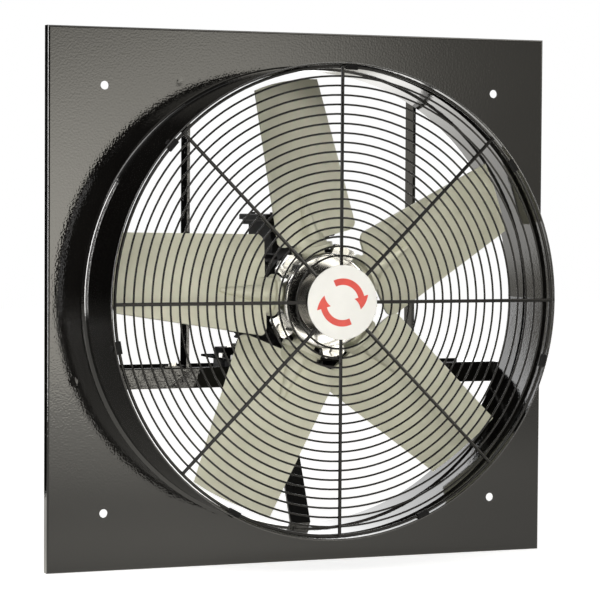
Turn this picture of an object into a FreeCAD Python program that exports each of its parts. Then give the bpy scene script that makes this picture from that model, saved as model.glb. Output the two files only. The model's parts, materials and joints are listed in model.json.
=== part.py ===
import FreeCAD, Part
import math
import os

# Industrial axial fan on a square wall plate, in millimetres.
# X is to the right, Y goes back towards the wall and Z is up.
# The origin is on the fan axis, at the front face of the plate.
# A "front" value is a distance in front of that face, so y = -front.
# Angles run anticlockwise from +X as seen from the front.

# Wall plate with its drawn collar
duct_bore = 596.0
plate_border = 52.0
plate_thickness = 2.0
plate_return = 15.0
plate_bend = 3.0
hole_inset = 75.0
hole_diameter = 11.0
collar_fillet = 6.0
collar_height = 50.0

# Shroud drum that slips over the collar
shroud_thickness = 2.0
shroud_front = 130.0
shroud_rear_gap = 13.0
collar_fit = 0.1
guard_seat_depth = 22.0
guard_seat_step = 3.0
guard_seat_slope = 4.0

# Wire guard
ring_pitch = 12.0
ring_wire = 2.6
outer_wire = 4.0
guard_eye = 116.0
guard_setback = 2.5
spoke_count = 8
spoke_wire = 4.5
spoke_inner_end = 32.0
weld_bite = 0.4
guard_disc_diameter = 92.0
guard_disc_thickness = 1.5
badge_diameter = 95.2
badge_thickness = 1.3
badge_edge = 0.5

# Guard clips and their rivets
clip_count = 7
clip_start_angle = 36.0
clip_width = 16.0
clip_thickness = 1.2
clip_hook = 5.0
clip_leg = 15.0
guard_fit = 0.15
rivet_diameter = 4.0
rivet_head = 7.0
rivet_head_height = 1.2
rivet_fit = 0.05

# Impeller
impeller_diameter = 574.0
blade_plane = 65.5
blade_count = 5
blade_angle = 102.0
blade_pitch = 20.5
blade_front_reach_root = 56.5
blade_front_reach_tip = 45.3
blade_back_reach_root = 82.0
blade_back_reach_tip = 61.5
blade_root_thickness = 9.0
blade_tip_thickness = 5.0
blade_edge_thickness = 2.4
blade_camber = 5.0
blade_root_corner = 13.0
blade_root_gap = 4.5
blade_trim = 2.0
root_pin_diameter = 30.0
root_collar_diameter = 37.0
root_collar_width = 5.0
root_flange_diameter = 54.0
root_flange_thickness = 6.0
root_neck_length = 6.5
root_neck_diameter = 46.0
root_neck_reach = 27.0
root_neck_thickness = 11.0
root_fairing_length = 72.0
root_fairing_tip = 6.0

# Hub of two clamped halves on a keyed bush
hub_diameter = 124.0
hub_half_height = 22.0
hub_shoulder = 5.0
hub_rim = 14.0
hub_dish_diameter = 54.0
hub_web = 10.0
hub_socket_depth = 18.0
hub_bolt_overhang = 7.0
hub_tab_width = 30.0
hub_tab_edge = 5.5
hub_tab_corner = 3.0
hub_flange_height = 6.0
hub_spot_diameter = 24.0
hub_thread = 6.0
bush_wall = 6.5
bush_flange_diameter = 52.0
bush_flange_thickness = 6.0
casting_fit = 0.1

# Motor: shaft, bearings and key
shaft_height = 80.0
shaft_diameter = 19.0
shaft_length = 40.0
shaft_plane_offset = 21.5
shaft_recess = 0.5
journal_diameter = 20.0
rotor_seat_diameter = 28.0
bearing_outside = 47.0
bearing_width = 14.0
bearing_ring = 3.6
race_depth = 1.2
ball_count = 8
ball_clearance = 0.2
key_width = 6.0
key_height = 6.0
key_sink = 3.5
key_length = 32.0
key_fit = 0.1
seal_width = 3.6
seal_wall = 5.0
running_gap = 0.3
end_thread = 6.0
end_washer_diameter = 26.0
end_washer_thickness = 2.5
end_screw_depth = 18.0

# Motor: housing, shields and windings
housing_bore = 120.0
housing_wall = 10.0
housing_length = 150.0
fin_height = 7.0
fin_thickness = 2.4
fin_count = 40
fin_free_angle = 38.0
fin_underside_angle = 16.0
shield_depth = 20.0
shield_projection = 6.0
shield_face = 2.0
shield_rim = 12.0
shield_nose_diameter = 80.0
shield_bolt_band = 14.0
shield_wall = 6.0
shield_thread = 5.0
shield_bolt_count = 4
shield_shaft_gap = 3.0
spigot_length = 4.0
spring_thickness = 1.2
stator_length = 90.0
rotor_diameter = 81.0
air_gap = 0.5
slot_count = 24
slot_width = 5.0
slot_depth = 11.0
slot_lip = 2.0
winding_fit = 0.3
winding_overhang = 20.0
end_ring_height = 6.0
end_ring_width = 12.0

# Motor feet
foot_across = 125.0
foot_along = 100.0
foot_setback = 50.0
foot_thickness = 10.0
foot_edge = 19.5
foot_length = 30.0
foot_web = 8.5
foot_web_outer_angle = -48.0
foot_web_inner_angle = -62.0
foot_thread = 8.0
thread_fit = 0.5

# Terminal box on top of the motor
box_side = 84.0
box_height = 23.0
box_wall = 3.0
box_flange = 6.5
box_flange_height = 4.5
box_pad_side = 76.0
box_pad_rise = 1.0
lead_hole = 24.0
lid_side = 104.0
lid_thickness = 7.5
lid_round = 2.0
gasket_thickness = 2.0
gasket_width = 9.0
lid_thread = 4.0
boss_diameter = 9.0
block_length = 46.0
block_width = 24.0
block_height = 8.0
block_stud = 4.0
block_stud_height = 9.0
gland_thread = 12.0
gland_flats = 15.0
gland_body = 9.0
gland_nut = 14.0
gland_bore = 6.5

# Motor support behind the plate
base_thickness = 3.0
base_width = 200.0
base_margin = 20.0
pad_height = 7.0
pad_diameter = 26.0
pad_side_margin = 1.0
pad_end_margin = 3.0
support_thread = 6.0
shelf_sheet = 2.5
shelf_setback = 14.0
shelf_depth = 78.0
shelf_lip = 27.0
shelf_bend = 2.0
upright_spacing = 320.0
upright_width = 25.0
upright_thickness = 4.0
upright_tab = 30.0
tab_thickness = 2.5
tab_margin = 8.0
brace_width = 28.0
brace_thickness = 4.0
brace_lap = 20.0
brace_drop = 6.0

# Fasteners, in shares of their thread
head_flats = 1.65
head_rise = 0.65
nut_rise = 0.8
thread_tail = 1.3
screw_grip = 2.0

# Smallest length that counts as a difference
hair = 1e-6

# Sizes that follow from the ones above
plate_half = duct_bore / 2 + plate_border
plate_inside = plate_half - plate_thickness
collar_outer = duct_bore / 2 + plate_thickness
flat_radius = collar_outer + collar_fillet
plate_back = -plate_thickness

shroud_inner = collar_outer + collar_fit
shroud_rear = collar_fillet + shroud_rear_gap
seat_inner = shroud_inner + guard_seat_step
seat_rear = shroud_front - guard_seat_depth

outer_ring_radius = seat_inner - clip_thickness - 2 * guard_fit - outer_wire / 2
ring_front = shroud_front - guard_setback
outer_ring_front = ring_front + (ring_wire - outer_wire) / 2
spoke_front = ring_front + ring_wire / 2 + spoke_wire / 2 - weld_bite
disc_rear = spoke_front + spoke_wire / 2
ring_count = math.floor((outer_ring_radius - guard_eye / 2) / ring_pitch) + 1
clip_bridge_rear = outer_ring_front + outer_wire / 2 + guard_fit

hub_radius = hub_diameter / 2
socket_inner = hub_radius - hub_socket_depth
hub_bolt_circle = hub_radius + hub_bolt_overhang
flange_start = hub_radius + blade_root_gap
flange_end = flange_start + root_flange_thickness
wing_root = flange_end + root_neck_length
bush_bore = shaft_diameter / 2
bush_radius = bush_bore + bush_wall

shoulder = blade_plane - shaft_plane_offset
shaft_tip = shoulder + shaft_length
shield_front = shoulder - shield_projection
housing_front = shield_front - shield_depth
housing_rear = housing_front - housing_length
housing_middle = (housing_front + housing_rear) / 2
housing_radius = housing_bore / 2 + housing_wall
front_bearing_front = shield_front - shield_face
front_bearing_rear = front_bearing_front - bearing_width
rear_bearing_front = housing_rear - shield_face
rear_bearing_rear = rear_bearing_front - bearing_width
rear_shield_rear = rear_bearing_rear - spring_thickness - 2 * shield_face
bolt_band_front = shield_front - shield_depth + shield_rim
bolt_band_rear = rear_shield_rear + (shield_front - bolt_band_front)
stator_front = housing_middle + stator_length / 2
stator_rear = housing_middle - stator_length / 2
stator_inner = rotor_diameter / 2 + air_gap
slot_inner = stator_inner + slot_lip
ball_pitch = (journal_diameter + bearing_outside) / 4
ball_radius = (bearing_outside - journal_diameter) / 4 - bearing_ring + race_depth

front_foot = shoulder - foot_setback
rear_foot = front_foot - foot_along
foot_bottom = -shaft_height
foot_top = foot_bottom + foot_thickness

pad_top_z = housing_radius + fin_height + box_pad_rise
box_top = pad_top_z + box_height
gasket_top = box_top + gasket_thickness
lid_top = gasket_top + lid_thickness
boss_offset = box_side / 2 - boss_diameter / 2

base_bottom = foot_bottom - base_thickness
shelf_top = base_bottom - pad_height
shelf_bottom = shelf_top - shelf_lip
shelf_front = -shelf_setback
shelf_rear = shelf_front - shelf_depth
shelf_middle = (shelf_front + shelf_rear) / 2
pad_across = base_width - pad_diameter - 2 * pad_side_margin
pad_along = shelf_depth - pad_diameter - 2 * pad_end_margin
shelf_half = math.sqrt(flat_radius ** 2 - ((shelf_top + shelf_bottom) / 2) ** 2)
shelf_tab = plate_inside - shelf_half - tab_margin
upright_front = plate_back - tab_thickness
upright_rear = upright_front - upright_width
upright_inner = (upright_spacing - upright_thickness) / 2
upright_tab_low = math.sqrt(flat_radius ** 2 - upright_inner ** 2) + tab_margin / 2
upright_top = upright_tab_low + upright_tab
upright_stud_x = upright_inner + upright_thickness + (upright_tab - upright_thickness) / 2
brace_foot_low = plate_inside - tab_margin / 2
brace_foot_high = flat_radius + tab_margin / 4

ORIGIN = FreeCAD.Vector(0, 0, 0)
RIGHT = FreeCAD.Vector(1, 0, 0)
FORWARD = FreeCAD.Vector(0, -1, 0)
BACKWARD = FreeCAD.Vector(0, 1, 0)
UP = FreeCAD.Vector(0, 0, 1)
DOWN = FreeCAD.Vector(0, 0, -1)
FULL_TURN = 360.0


def point(x, front, z):
    return FreeCAD.Vector(x, -front, z)


def turned(shape, degrees):
    """A copy turned about the fan axis, anticlockwise as seen from the front."""
    copy = shape.copy()
    copy.rotate(ORIGIN, FORWARD, degrees)
    return copy


def turned_point(radius, front, degrees):
    angle = math.radians(degrees)
    return point(radius * math.cos(angle), front, radius * math.sin(angle))


def radial(degrees):
    angle = math.radians(degrees)
    return FreeCAD.Vector(math.cos(angle), 0, math.sin(angle))


def even_angles(count, start):
    return [start + FULL_TURN * index / count for index in range(count)]


def block(x0, x1, front0, front1, z0, z1):
    low = FreeCAD.Vector(min(x0, x1), -max(front0, front1), min(z0, z1))
    return Part.makeBox(abs(x1 - x0), abs(front1 - front0), abs(z1 - z0), low)


def rod(start, direction, length, radius):
    return Part.makeCylinder(radius, length, start, direction)


def outline_face(corners):
    """A flat face from corner points; a pair of points is an arc through the first to the second."""
    edges = []
    last = corners[0]
    for corner in corners[1:] + corners[:1]:
        if isinstance(corner, tuple):
            edges.append(Part.Arc(last, corner[0], corner[1]).toShape())
            last = corner[1]
        elif last.distanceToPoint(corner) > hair:
            edges.append(Part.LineSegment(last, corner).toShape())
            last = corner
    return Part.Face(Part.Wire(edges))


def lathe(profile):
    """A solid of revolution about the fan axis from (radius, front) corners."""
    corners = [point(radius, front, 0) for radius, front in profile]
    return outline_face(corners).revolve(ORIGIN, BACKWARD, FULL_TURN)


def tube(inner, outer, rear, front):
    return lathe([(inner, rear), (outer, rear), (outer, front), (inner, front)])


def fused(pieces):
    return pieces[0].multiFuse(pieces[1:]).removeSplitter()


def flats(thread):
    return head_flats * thread


def head_height(thread):
    return head_rise * thread


def nut_height(thread):
    return nut_rise * thread


def hexagon(base, direction, across_flats, height):
    """A hexagonal prism that stands on base along direction."""
    radius = across_flats / math.sqrt(3)
    corners = []
    for degrees in even_angles(6, 0):
        angle = math.radians(degrees)
        corners.append(FreeCAD.Vector(radius * math.cos(angle), radius * math.sin(angle), 0))
    prism = outline_face(corners).extrude(FreeCAD.Vector(0, 0, height))
    prism.Placement = FreeCAD.Placement(base, FreeCAD.Rotation(UP, direction))
    return prism


def hex_bolt(seat, direction, thread, length):
    """A bolt whose head stands on seat, with its shank running along direction."""
    head = hexagon(seat, direction * -1, flats(thread), head_height(thread))
    return fused([head, rod(seat, direction, length, thread / 2)])


def hex_nut(seat, direction, thread):
    nut = hexagon(seat, direction, flats(thread), nut_height(thread))
    return nut.cut(rod(seat, direction, nut_height(thread), thread / 2 + rivet_fit))


def bore(start, direction, length, thread):
    return rod(start, direction, length, (thread + thread_fit) / 2)


def bent_strip(path, thickness, half_width):
    """A flat bar bent along (front, z) points, seen from the side, with mitred bends."""
    left = []
    right = []
    for index, (front, z) in enumerate(path):
        before = path[max(index - 1, 0)]
        after = path[min(index + 1, len(path) - 1)]
        normals = []
        for start, end in ((before, (front, z)), ((front, z), after)):
            length = math.hypot(end[0] - start[0], end[1] - start[1])
            if length > 0:
                normals.append(((start[1] - end[1]) / length, (end[0] - start[0]) / length))
        first, last = normals[0], normals[-1]
        spread = 1 + first[0] * last[0] + first[1] * last[1]
        offset = ((first[0] + last[0]) / spread, (first[1] + last[1]) / spread)
        left.append((front + offset[0] * thickness / 2, z + offset[1] * thickness / 2))
        right.append((front - offset[0] * thickness / 2, z - offset[1] * thickness / 2))
    corners = [point(-half_width, front, z) for front, z in left + right[::-1]]
    return outline_face(corners).extrude(RIGHT * (2 * half_width))


# Housing side

def hole_centres():
    reach = plate_half - hole_inset
    return [(x, z) for x in (-reach, reach) for z in (-reach, reach)]


def wall_plate():
    tray = block(-plate_half, plate_half, -plate_return, 0, -plate_half, plate_half)
    hollow = block(-plate_inside, plate_inside, -plate_return, plate_back, -plate_inside, plate_inside)
    tray = rounded_front(tray, 0, plate_bend)
    hollow = rounded_front(hollow, plate_back, plate_bend - plate_thickness)
    plate = tray.cut(hollow).cut(tube(0, flat_radius, -plate_return, plate_thickness))
    plate = fused([plate, drawn_collar()])
    for x, z in hole_centres():
        plate = plate.cut(rod(point(x, plate_thickness, z), BACKWARD, 3 * plate_thickness, hole_diameter / 2))
    return plate


def rounded_front(solid, front, radius):
    edges = [edge for edge in solid.Edges if abs(edge.BoundBox.YMin + front) < hair
             and abs(edge.BoundBox.YMax + front) < hair]
    return solid.makeFillet(radius, edges)


def drawn_collar():
    """The ring pressed forward out of the sheet, with its rounded root."""
    inner = duct_bore / 2
    middle = math.sqrt(0.5)
    outside_bend = collar_fillet * (1 - middle)
    inside_radius = collar_fillet + plate_thickness
    inside_mid = point(flat_radius - inside_radius * middle, collar_fillet - inside_radius * middle, 0)
    corners = [
        point(flat_radius, plate_back, 0),
        point(flat_radius, 0, 0),
        (point(collar_outer + outside_bend, outside_bend, 0), point(collar_outer, collar_fillet, 0)),
        point(collar_outer, collar_height, 0),
        point(inner, collar_height, 0),
        point(inner, collar_fillet, 0),
        (inside_mid, point(flat_radius, plate_back, 0)),
    ]
    return outline_face(corners).revolve(ORIGIN, BACKWARD, FULL_TURN)


def shroud():
    """The rolled drum, widened at the front to seat the guard, with a round front edge."""
    outer = shroud_inner + shroud_thickness
    seat_outer = seat_inner + shroud_thickness
    edge = shroud_thickness / 2
    round_start = shroud_front - edge
    corners = [
        point(shroud_inner, shroud_rear, 0),
        point(outer, shroud_rear, 0),
        point(outer, seat_rear - guard_seat_slope, 0),
        point(seat_outer, seat_rear, 0),
        point(seat_outer, round_start, 0),
        (point(seat_inner + edge, shroud_front, 0), point(seat_inner, round_start, 0)),
        point(seat_inner, seat_rear, 0),
        point(shroud_inner, seat_rear - guard_seat_slope, 0),
    ]
    drum = outline_face(corners).revolve(ORIGIN, BACKWARD, FULL_TURN)
    for angle in even_angles(clip_count, clip_start_angle):
        start = turned_point(shroud_inner, rivet_front(), angle)
        drum = drum.cut(rod(start, radial(angle), 4 * shroud_thickness, rivet_diameter / 2 + rivet_fit))
    return drum


def guard_rings():
    rings = [Part.makeTorus(outer_ring_radius, outer_wire / 2, point(0, outer_ring_front, 0), FORWARD)]
    for index in range(1, ring_count):
        radius = outer_ring_radius - index * ring_pitch
        rings.append(Part.makeTorus(radius, ring_wire / 2, point(0, ring_front, 0), FORWARD))
    return Part.makeCompound(rings)


def guard_spokes():
    length = outer_ring_radius - spoke_inner_end
    start = point(spoke_inner_end, spoke_front, 0)
    spoke = rod(start, RIGHT, length, spoke_wire / 2)
    return Part.makeCompound([turned(spoke, angle) for angle in even_angles(spoke_count, 0)])


def guard_disc():
    return tube(0, guard_disc_diameter / 2, disc_rear, disc_rear + guard_disc_thickness)


def guard_badge():
    rear = disc_rear + guard_disc_thickness
    front = rear + badge_thickness
    radius = badge_diameter / 2
    return lathe([
        (0, rear), (radius, rear), (radius, front - badge_edge), (radius - badge_edge, front), (0, front),
    ])


def rivet_front():
    return clip_bridge_rear + clip_thickness - clip_leg + rivet_head / 2 + clip_thickness


def guard_clips():
    """Bent strips that hook over the outer ring and lie against the inside of the drum."""
    leg_outer = seat_inner - guard_fit
    leg_inner = leg_outer - clip_thickness
    hook_outer = outer_ring_radius - outer_wire / 2 - guard_fit
    hook_inner = hook_outer - clip_thickness
    front = clip_bridge_rear + clip_thickness
    profile = [
        (leg_outer, front - clip_leg), (leg_outer, front), (hook_inner, front),
        (hook_inner, front - clip_hook), (hook_outer, front - clip_hook), (hook_outer, clip_bridge_rear),
        (leg_inner, clip_bridge_rear), (leg_inner, front - clip_leg),
    ]
    corners = [point(radius, height, -clip_width / 2) for radius, height in profile]
    clip = outline_face(corners).extrude(UP * clip_width)
    hole = rod(point(hook_inner, rivet_front(), 0), RIGHT, 4 * clip_leg, rivet_diameter / 2 + rivet_fit)
    clip = clip.cut(hole)
    return Part.makeCompound([turned(clip, angle) for angle in even_angles(clip_count, clip_start_angle)])


def clip_rivets():
    leg_inner = seat_inner - guard_fit - clip_thickness
    outside = seat_inner + shroud_thickness
    tail_start = point(leg_inner - rivet_head_height, rivet_front(), 0)
    tail = rod(tail_start, RIGHT, rivet_head_height, rivet_head / 2)
    shank = rod(point(leg_inner, rivet_front(), 0), RIGHT, outside - leg_inner, rivet_diameter / 2)
    head = rod(point(outside, rivet_front(), 0), RIGHT, rivet_head_height, rivet_head / 2)
    rivet = fused([tail, shank, head])
    return Part.makeCompound([turned(rivet, angle) for angle in even_angles(clip_count, clip_start_angle)])


# Motor support

def stud_seats():
    """Centre of each weld stud on the back of the plate, with the thickness it clamps."""
    shelf_x = shelf_half + shelf_tab / 2
    shelf_z = (shelf_top + shelf_bottom) / 2
    upright_z = (upright_tab_low + upright_top) / 2
    brace_z = -(brace_foot_low + brace_foot_high) / 2
    seats = []
    for side in (-1, 1):
        seats.append((side * shelf_x, shelf_z, shelf_sheet))
        seats.append((side * upright_stud_x, upright_z, tab_thickness))
    seats.append((0, brace_z, brace_thickness))
    return seats


def frame_studs():
    studs = []
    for x, z, clamped in stud_seats():
        length = clamped + thread_tail * nut_height(support_thread)
        studs.append(rod(point(x, plate_back, z), BACKWARD, length, support_thread / 2))
    return Part.makeCompound(studs)


def frame_nuts():
    nuts = []
    for x, z, clamped in stud_seats():
        nuts.append(hex_nut(point(x, plate_back - clamped, z), BACKWARD, support_thread))
    return Part.makeCompound(nuts)


def stud_bores():
    bores = []
    for x, z, clamped in stud_seats():
        bores.append(bore(point(x, plate_back, z), BACKWARD, clamped, support_thread))
    return bores


def motor_shelf():
    """A channel across the opening, closed at both ends by plates with tabs on the wall plate."""
    inside_front = shelf_front - shelf_sheet
    inside_rear = shelf_rear + shelf_sheet
    inside_top = shelf_top - shelf_sheet
    channel = block(-shelf_half, shelf_half, shelf_front, shelf_rear, shelf_bottom, shelf_top)
    bends = [edge for edge in channel.Edges if abs(edge.BoundBox.ZMin - shelf_top) < hair
             and edge.BoundBox.XLength > shelf_half]
    channel = channel.makeFillet(shelf_bend, bends)
    channel = channel.cut(block(-shelf_half, shelf_half, inside_front, inside_rear, shelf_bottom, inside_top))
    pieces = [channel]
    for side in (-1, 1):
        end = side * shelf_half
        pieces.append(block(end, end - side * shelf_sheet, plate_back, shelf_rear, shelf_bottom, shelf_top))
        tab_rear = plate_back - shelf_sheet
        pieces.append(block(end, end + side * shelf_tab, plate_back, tab_rear, shelf_bottom, shelf_top))
    shelf = fused(pieces)
    for x, front in pad_places() + upright_bolt_places():
        shelf = shelf.cut(bore(point(x, front, shelf_top), DOWN, shelf_sheet, support_thread))
    brace_bore = bore(point(0, inside_rear, brace_bolt_z()), BACKWARD, shelf_sheet, support_thread)
    return shelf.cut(brace_bore).cut(Part.makeCompound(stud_bores()))


def upright_bolt_places():
    front = (shelf_front + upright_rear) / 2
    return [(-upright_stud_x, front), (upright_stud_x, front)]


def upright(side):
    """A flat bar on edge, with a tab on the wall plate and a foot on the shelf."""
    inner = side * upright_inner
    outer = inner + side * upright_thickness
    tab_end = inner + side * upright_tab
    bar = block(inner, outer, upright_front, upright_rear, shelf_top, upright_top)
    tab = block(inner, tab_end, plate_back, upright_front, upright_tab_low, upright_top)
    foot = block(inner, tab_end, shelf_front, upright_rear, shelf_top, shelf_top + tab_thickness)
    whole = fused([bar, tab, foot]).cut(Part.makeCompound(stud_bores()))
    for x, front in upright_bolt_places():
        whole = whole.cut(bore(point(x, front, shelf_top), UP, tab_thickness, support_thread))
    return whole


def brace_bolt_z():
    return shelf_bottom + brace_lap / 2


def lower_brace():
    """A flat bar from the wall plate below the opening to the rear lip of the shelf."""
    foot_front = plate_back - brace_thickness / 2
    top_front = shelf_rear - brace_thickness / 2
    path = [
        (foot_front, -brace_foot_low), (foot_front, -brace_foot_high),
        (top_front, shelf_bottom - brace_drop), (top_front, shelf_bottom + brace_lap),
    ]
    brace = bent_strip(path, brace_thickness, brace_width / 2)
    brace = brace.cut(bore(point(0, shelf_rear, brace_bolt_z()), BACKWARD, brace_thickness, support_thread))
    return brace.cut(Part.makeCompound(stud_bores()))


def shelf_bolts():
    length = tab_thickness + shelf_sheet + thread_tail * nut_height(support_thread)
    bolts = []
    for x, front in upright_bolt_places():
        bolts.append(hex_bolt(point(x, front, shelf_top + tab_thickness), DOWN, support_thread, length))
    length = brace_thickness + shelf_sheet + thread_tail * nut_height(support_thread)
    seat = point(0, shelf_rear - brace_thickness, brace_bolt_z())
    bolts.append(hex_bolt(seat, FORWARD, support_thread, length))
    return Part.makeCompound(bolts)


def shelf_nuts():
    nuts = []
    for x, front in upright_bolt_places():
        nuts.append(hex_nut(point(x, front, shelf_top - shelf_sheet), DOWN, support_thread))
    nuts.append(hex_nut(point(0, shelf_rear + shelf_sheet, brace_bolt_z()), FORWARD, support_thread))
    return Part.makeCompound(nuts)


def pad_places():
    fronts = (shelf_middle - pad_along / 2, shelf_middle + pad_along / 2)
    return [(side * pad_across / 2, front) for side in (-1, 1) for front in fronts]


def foot_places():
    return [(side * foot_across / 2, front) for side in (-1, 1) for front in (front_foot, rear_foot)]


def base_plate():
    front = front_foot + base_margin
    rear = rear_foot - base_margin
    plate = block(-base_width / 2, base_width / 2, front, rear, base_bottom, foot_bottom)
    for x, spot in pad_places():
        plate = plate.cut(bore(point(x, spot, base_bottom), UP, base_thickness, support_thread))
    for x, spot in foot_places():
        plate = plate.cut(bore(point(x, spot, base_bottom), UP, base_thickness, foot_thread))
    return plate


def rubber_pads():
    pads = []
    for x, front in pad_places():
        pad = rod(point(x, front, shelf_top), UP, pad_height, pad_diameter / 2)
        pads.append(pad.cut(bore(point(x, front, shelf_top), UP, pad_height, support_thread)))
    return Part.makeCompound(pads)


def pad_bolts():
    length = base_thickness + pad_height + shelf_sheet + thread_tail * nut_height(support_thread)
    return Part.makeCompound([hex_bolt(point(x, front, foot_bottom), DOWN, support_thread, length)
                              for x, front in pad_places()])


def pad_nuts():
    return Part.makeCompound([hex_nut(point(x, front, shelf_top - shelf_sheet), DOWN, support_thread)
                              for x, front in pad_places()])


def foot_bolts():
    length = foot_thickness + base_thickness + thread_tail * nut_height(foot_thread)
    return Part.makeCompound([hex_bolt(point(x, front, foot_top), DOWN, foot_thread, length)
                              for x, front in foot_places()])


def foot_nuts():
    return Part.makeCompound([hex_nut(point(x, front, base_bottom), DOWN, foot_thread)
                              for x, front in foot_places()])


# Motor, fixed pieces

def shield_bolt_angles():
    return even_angles(shield_bolt_count, FULL_TURN / shield_bolt_count / 2)


def shield_bolt_circle():
    return housing_bore / 2 + housing_wall / 2


def motor_foot(side, front):
    """One cast foot: a pad on the base plate and a web up to the round body."""
    hole_x = foot_across / 2
    pad_end = hole_x + foot_edge
    web_foot = hole_x - foot_web
    web_top_angle = math.radians(foot_web_outer_angle)
    inner_angle = math.radians(foot_web_inner_angle)
    inside = housing_radius - housing_wall / 2
    corners = [
        (inside * math.cos(inner_angle), foot_bottom), (pad_end, foot_bottom), (pad_end, foot_top),
        (web_foot, foot_top),
        (inside * math.cos(web_top_angle), inside * math.sin(web_top_angle)),
        (inside * math.cos(inner_angle), inside * math.sin(inner_angle)),
    ]
    corners = [point(side * x, front + foot_length / 2, z) for x, z in corners]
    foot = outline_face(corners).extrude(BACKWARD * foot_length)
    return foot.cut(bore(point(side * hole_x, front, foot_bottom), UP, foot_thickness, foot_thread))


def fin_angles():
    """The fin places: none under the terminal box nor at the webs of the feet."""
    angles = []
    for angle in even_angles(fin_count, FULL_TURN / fin_count / 2):
        from_top = abs((angle - 90) % FULL_TURN)
        from_top = min(from_top, FULL_TURN - from_top)
        from_bottom = FULL_TURN / 2 - from_top
        clear_feet = from_bottom > fin_free_angle or from_bottom < fin_underside_angle
        if from_top > fin_free_angle and clear_feet:
            angles.append(angle)
    return angles


def motor_housing():
    """The finned body with its feet and the flat pad that carries the terminal box."""
    body = tube(0, housing_radius, housing_rear, housing_front)
    fin_root = housing_radius - housing_wall / 2
    fin = block(fin_root, housing_radius + fin_height, housing_rear, housing_front,
                -fin_thickness / 2, fin_thickness / 2)
    pad = block(-box_pad_side / 2, box_pad_side / 2, housing_middle - box_pad_side / 2,
                housing_middle + box_pad_side / 2, 0, pad_top_z)
    pieces = [body, pad]
    pieces += [turned(fin, angle) for angle in fin_angles()]
    for side in (-1, 1):
        pieces.append(motor_foot(side, front_foot))
        pieces.append(motor_foot(side, rear_foot))
    housing = fused(pieces).cut(tube(0, housing_bore / 2, housing_rear, housing_front))
    housing = housing.cut(rod(point(0, housing_middle, 0), UP, pad_top_z, lead_hole / 2))
    for angle in shield_bolt_angles():
        for end, direction in ((housing_front, BACKWARD), (housing_rear, FORWARD)):
            start = turned_point(shield_bolt_circle(), end, angle)
            depth = 2 * screw_grip * shield_thread
            housing = housing.cut(rod(start, direction, depth, shield_thread / 2 + rivet_fit))
    return housing


def shield_bores(front):
    return Part.makeCompound([bore(turned_point(shield_bolt_circle(), front, angle), BACKWARD,
                                   shield_depth, shield_thread) for angle in shield_bolt_angles()])


def front_shield():
    """The drive-end shield: a bolted rim, a coned face and the bearing seat."""
    seat = bearing_outside / 2
    nose = shield_nose_diameter / 2
    spigot = housing_bore / 2 - casting_fit
    profile = [
        (journal_diameter / 2 + shield_shaft_gap, shield_front), (nose, shield_front),
        (housing_radius - shield_bolt_band, bolt_band_front), (housing_radius, bolt_band_front),
        (housing_radius, housing_front), (spigot, housing_front), (spigot, housing_front - spigot_length),
        (spigot - shield_wall, housing_front - spigot_length), (spigot - shield_wall, housing_front),
        (seat + shield_wall, front_bearing_rear + shield_wall), (seat + shield_wall, front_bearing_rear),
        (seat, front_bearing_rear), (seat, front_bearing_front),
        (journal_diameter / 2 + shield_shaft_gap, front_bearing_front),
    ]
    return lathe(profile).cut(shield_bores(shield_front))


def rear_shield():
    """The closed non-drive shield with the other bearing seat."""
    seat = bearing_outside / 2
    nose = shield_nose_diameter / 2
    spigot = housing_bore / 2 - casting_fit
    floor = rear_bearing_rear - spring_thickness
    profile = [
        (0, rear_shield_rear), (nose, rear_shield_rear),
        (housing_radius - shield_bolt_band, bolt_band_rear), (housing_radius, bolt_band_rear),
        (housing_radius, housing_rear), (spigot, housing_rear), (spigot, housing_rear + spigot_length),
        (spigot - shield_wall, housing_rear + spigot_length), (spigot - shield_wall, housing_rear),
        (seat + shield_wall, rear_bearing_front - shield_wall), (seat + shield_wall, rear_bearing_front),
        (seat, rear_bearing_front), (seat, floor), (0, floor),
    ]
    return lathe(profile).cut(shield_bores(housing_rear))


def shield_bolts():
    bolts = []
    for angle in shield_bolt_angles():
        front_seat = turned_point(shield_bolt_circle(), bolt_band_front, angle)
        rear_seat = turned_point(shield_bolt_circle(), bolt_band_rear, angle)
        front_length = bolt_band_front - housing_front + screw_grip * shield_thread
        rear_length = housing_rear - bolt_band_rear + screw_grip * shield_thread
        bolts.append(hex_bolt(front_seat, BACKWARD, shield_thread, front_length))
        bolts.append(hex_bolt(rear_seat, FORWARD, shield_thread, rear_length))
    return Part.makeCompound(bolts)


def slot_bars(inner, outer, width, rear, front):
    bar = block(inner, outer, rear, front, -width / 2, width / 2)
    return [turned(bar, angle) for angle in even_angles(slot_count, 0)]


def stator_core():
    """The laminated core, with open slots towards the rotor."""
    core = tube(stator_inner, housing_bore / 2, stator_rear, stator_front)
    slots = slot_bars(0, slot_inner + slot_depth, slot_width, stator_rear, stator_front)
    return core.cut(Part.makeCompound(slots))


def stator_winding():
    """The coils: a bundle in each slot and a round head at each end of the core."""
    inner = slot_inner
    outer = slot_inner + slot_depth - winding_fit
    width = slot_width - 2 * winding_fit
    front = stator_front + winding_overhang
    rear = stator_rear - winding_overhang
    gap = 2 * winding_fit
    heads = [tube(inner, outer, stator_front + gap, front), tube(inner, outer, rear, stator_rear - gap)]
    bars = slot_bars(inner, outer, width, stator_rear - slot_lip, stator_front + slot_lip)
    return fused(heads + bars)


def groove(front, clearance):
    return Part.makeTorus(ball_pitch, ball_radius + clearance, point(0, front, 0), FORWARD)


def bearing_outer(rear):
    middle = rear + bearing_width / 2
    ring = tube(bearing_outside / 2 - bearing_ring, bearing_outside / 2, rear, rear + bearing_width)
    return ring.cut(groove(middle, ball_clearance))


def bearing_inner(rear):
    middle = rear + bearing_width / 2
    ring = tube(journal_diameter / 2, journal_diameter / 2 + bearing_ring, rear, rear + bearing_width)
    return ring.cut(groove(middle, ball_clearance / 2))


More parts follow.
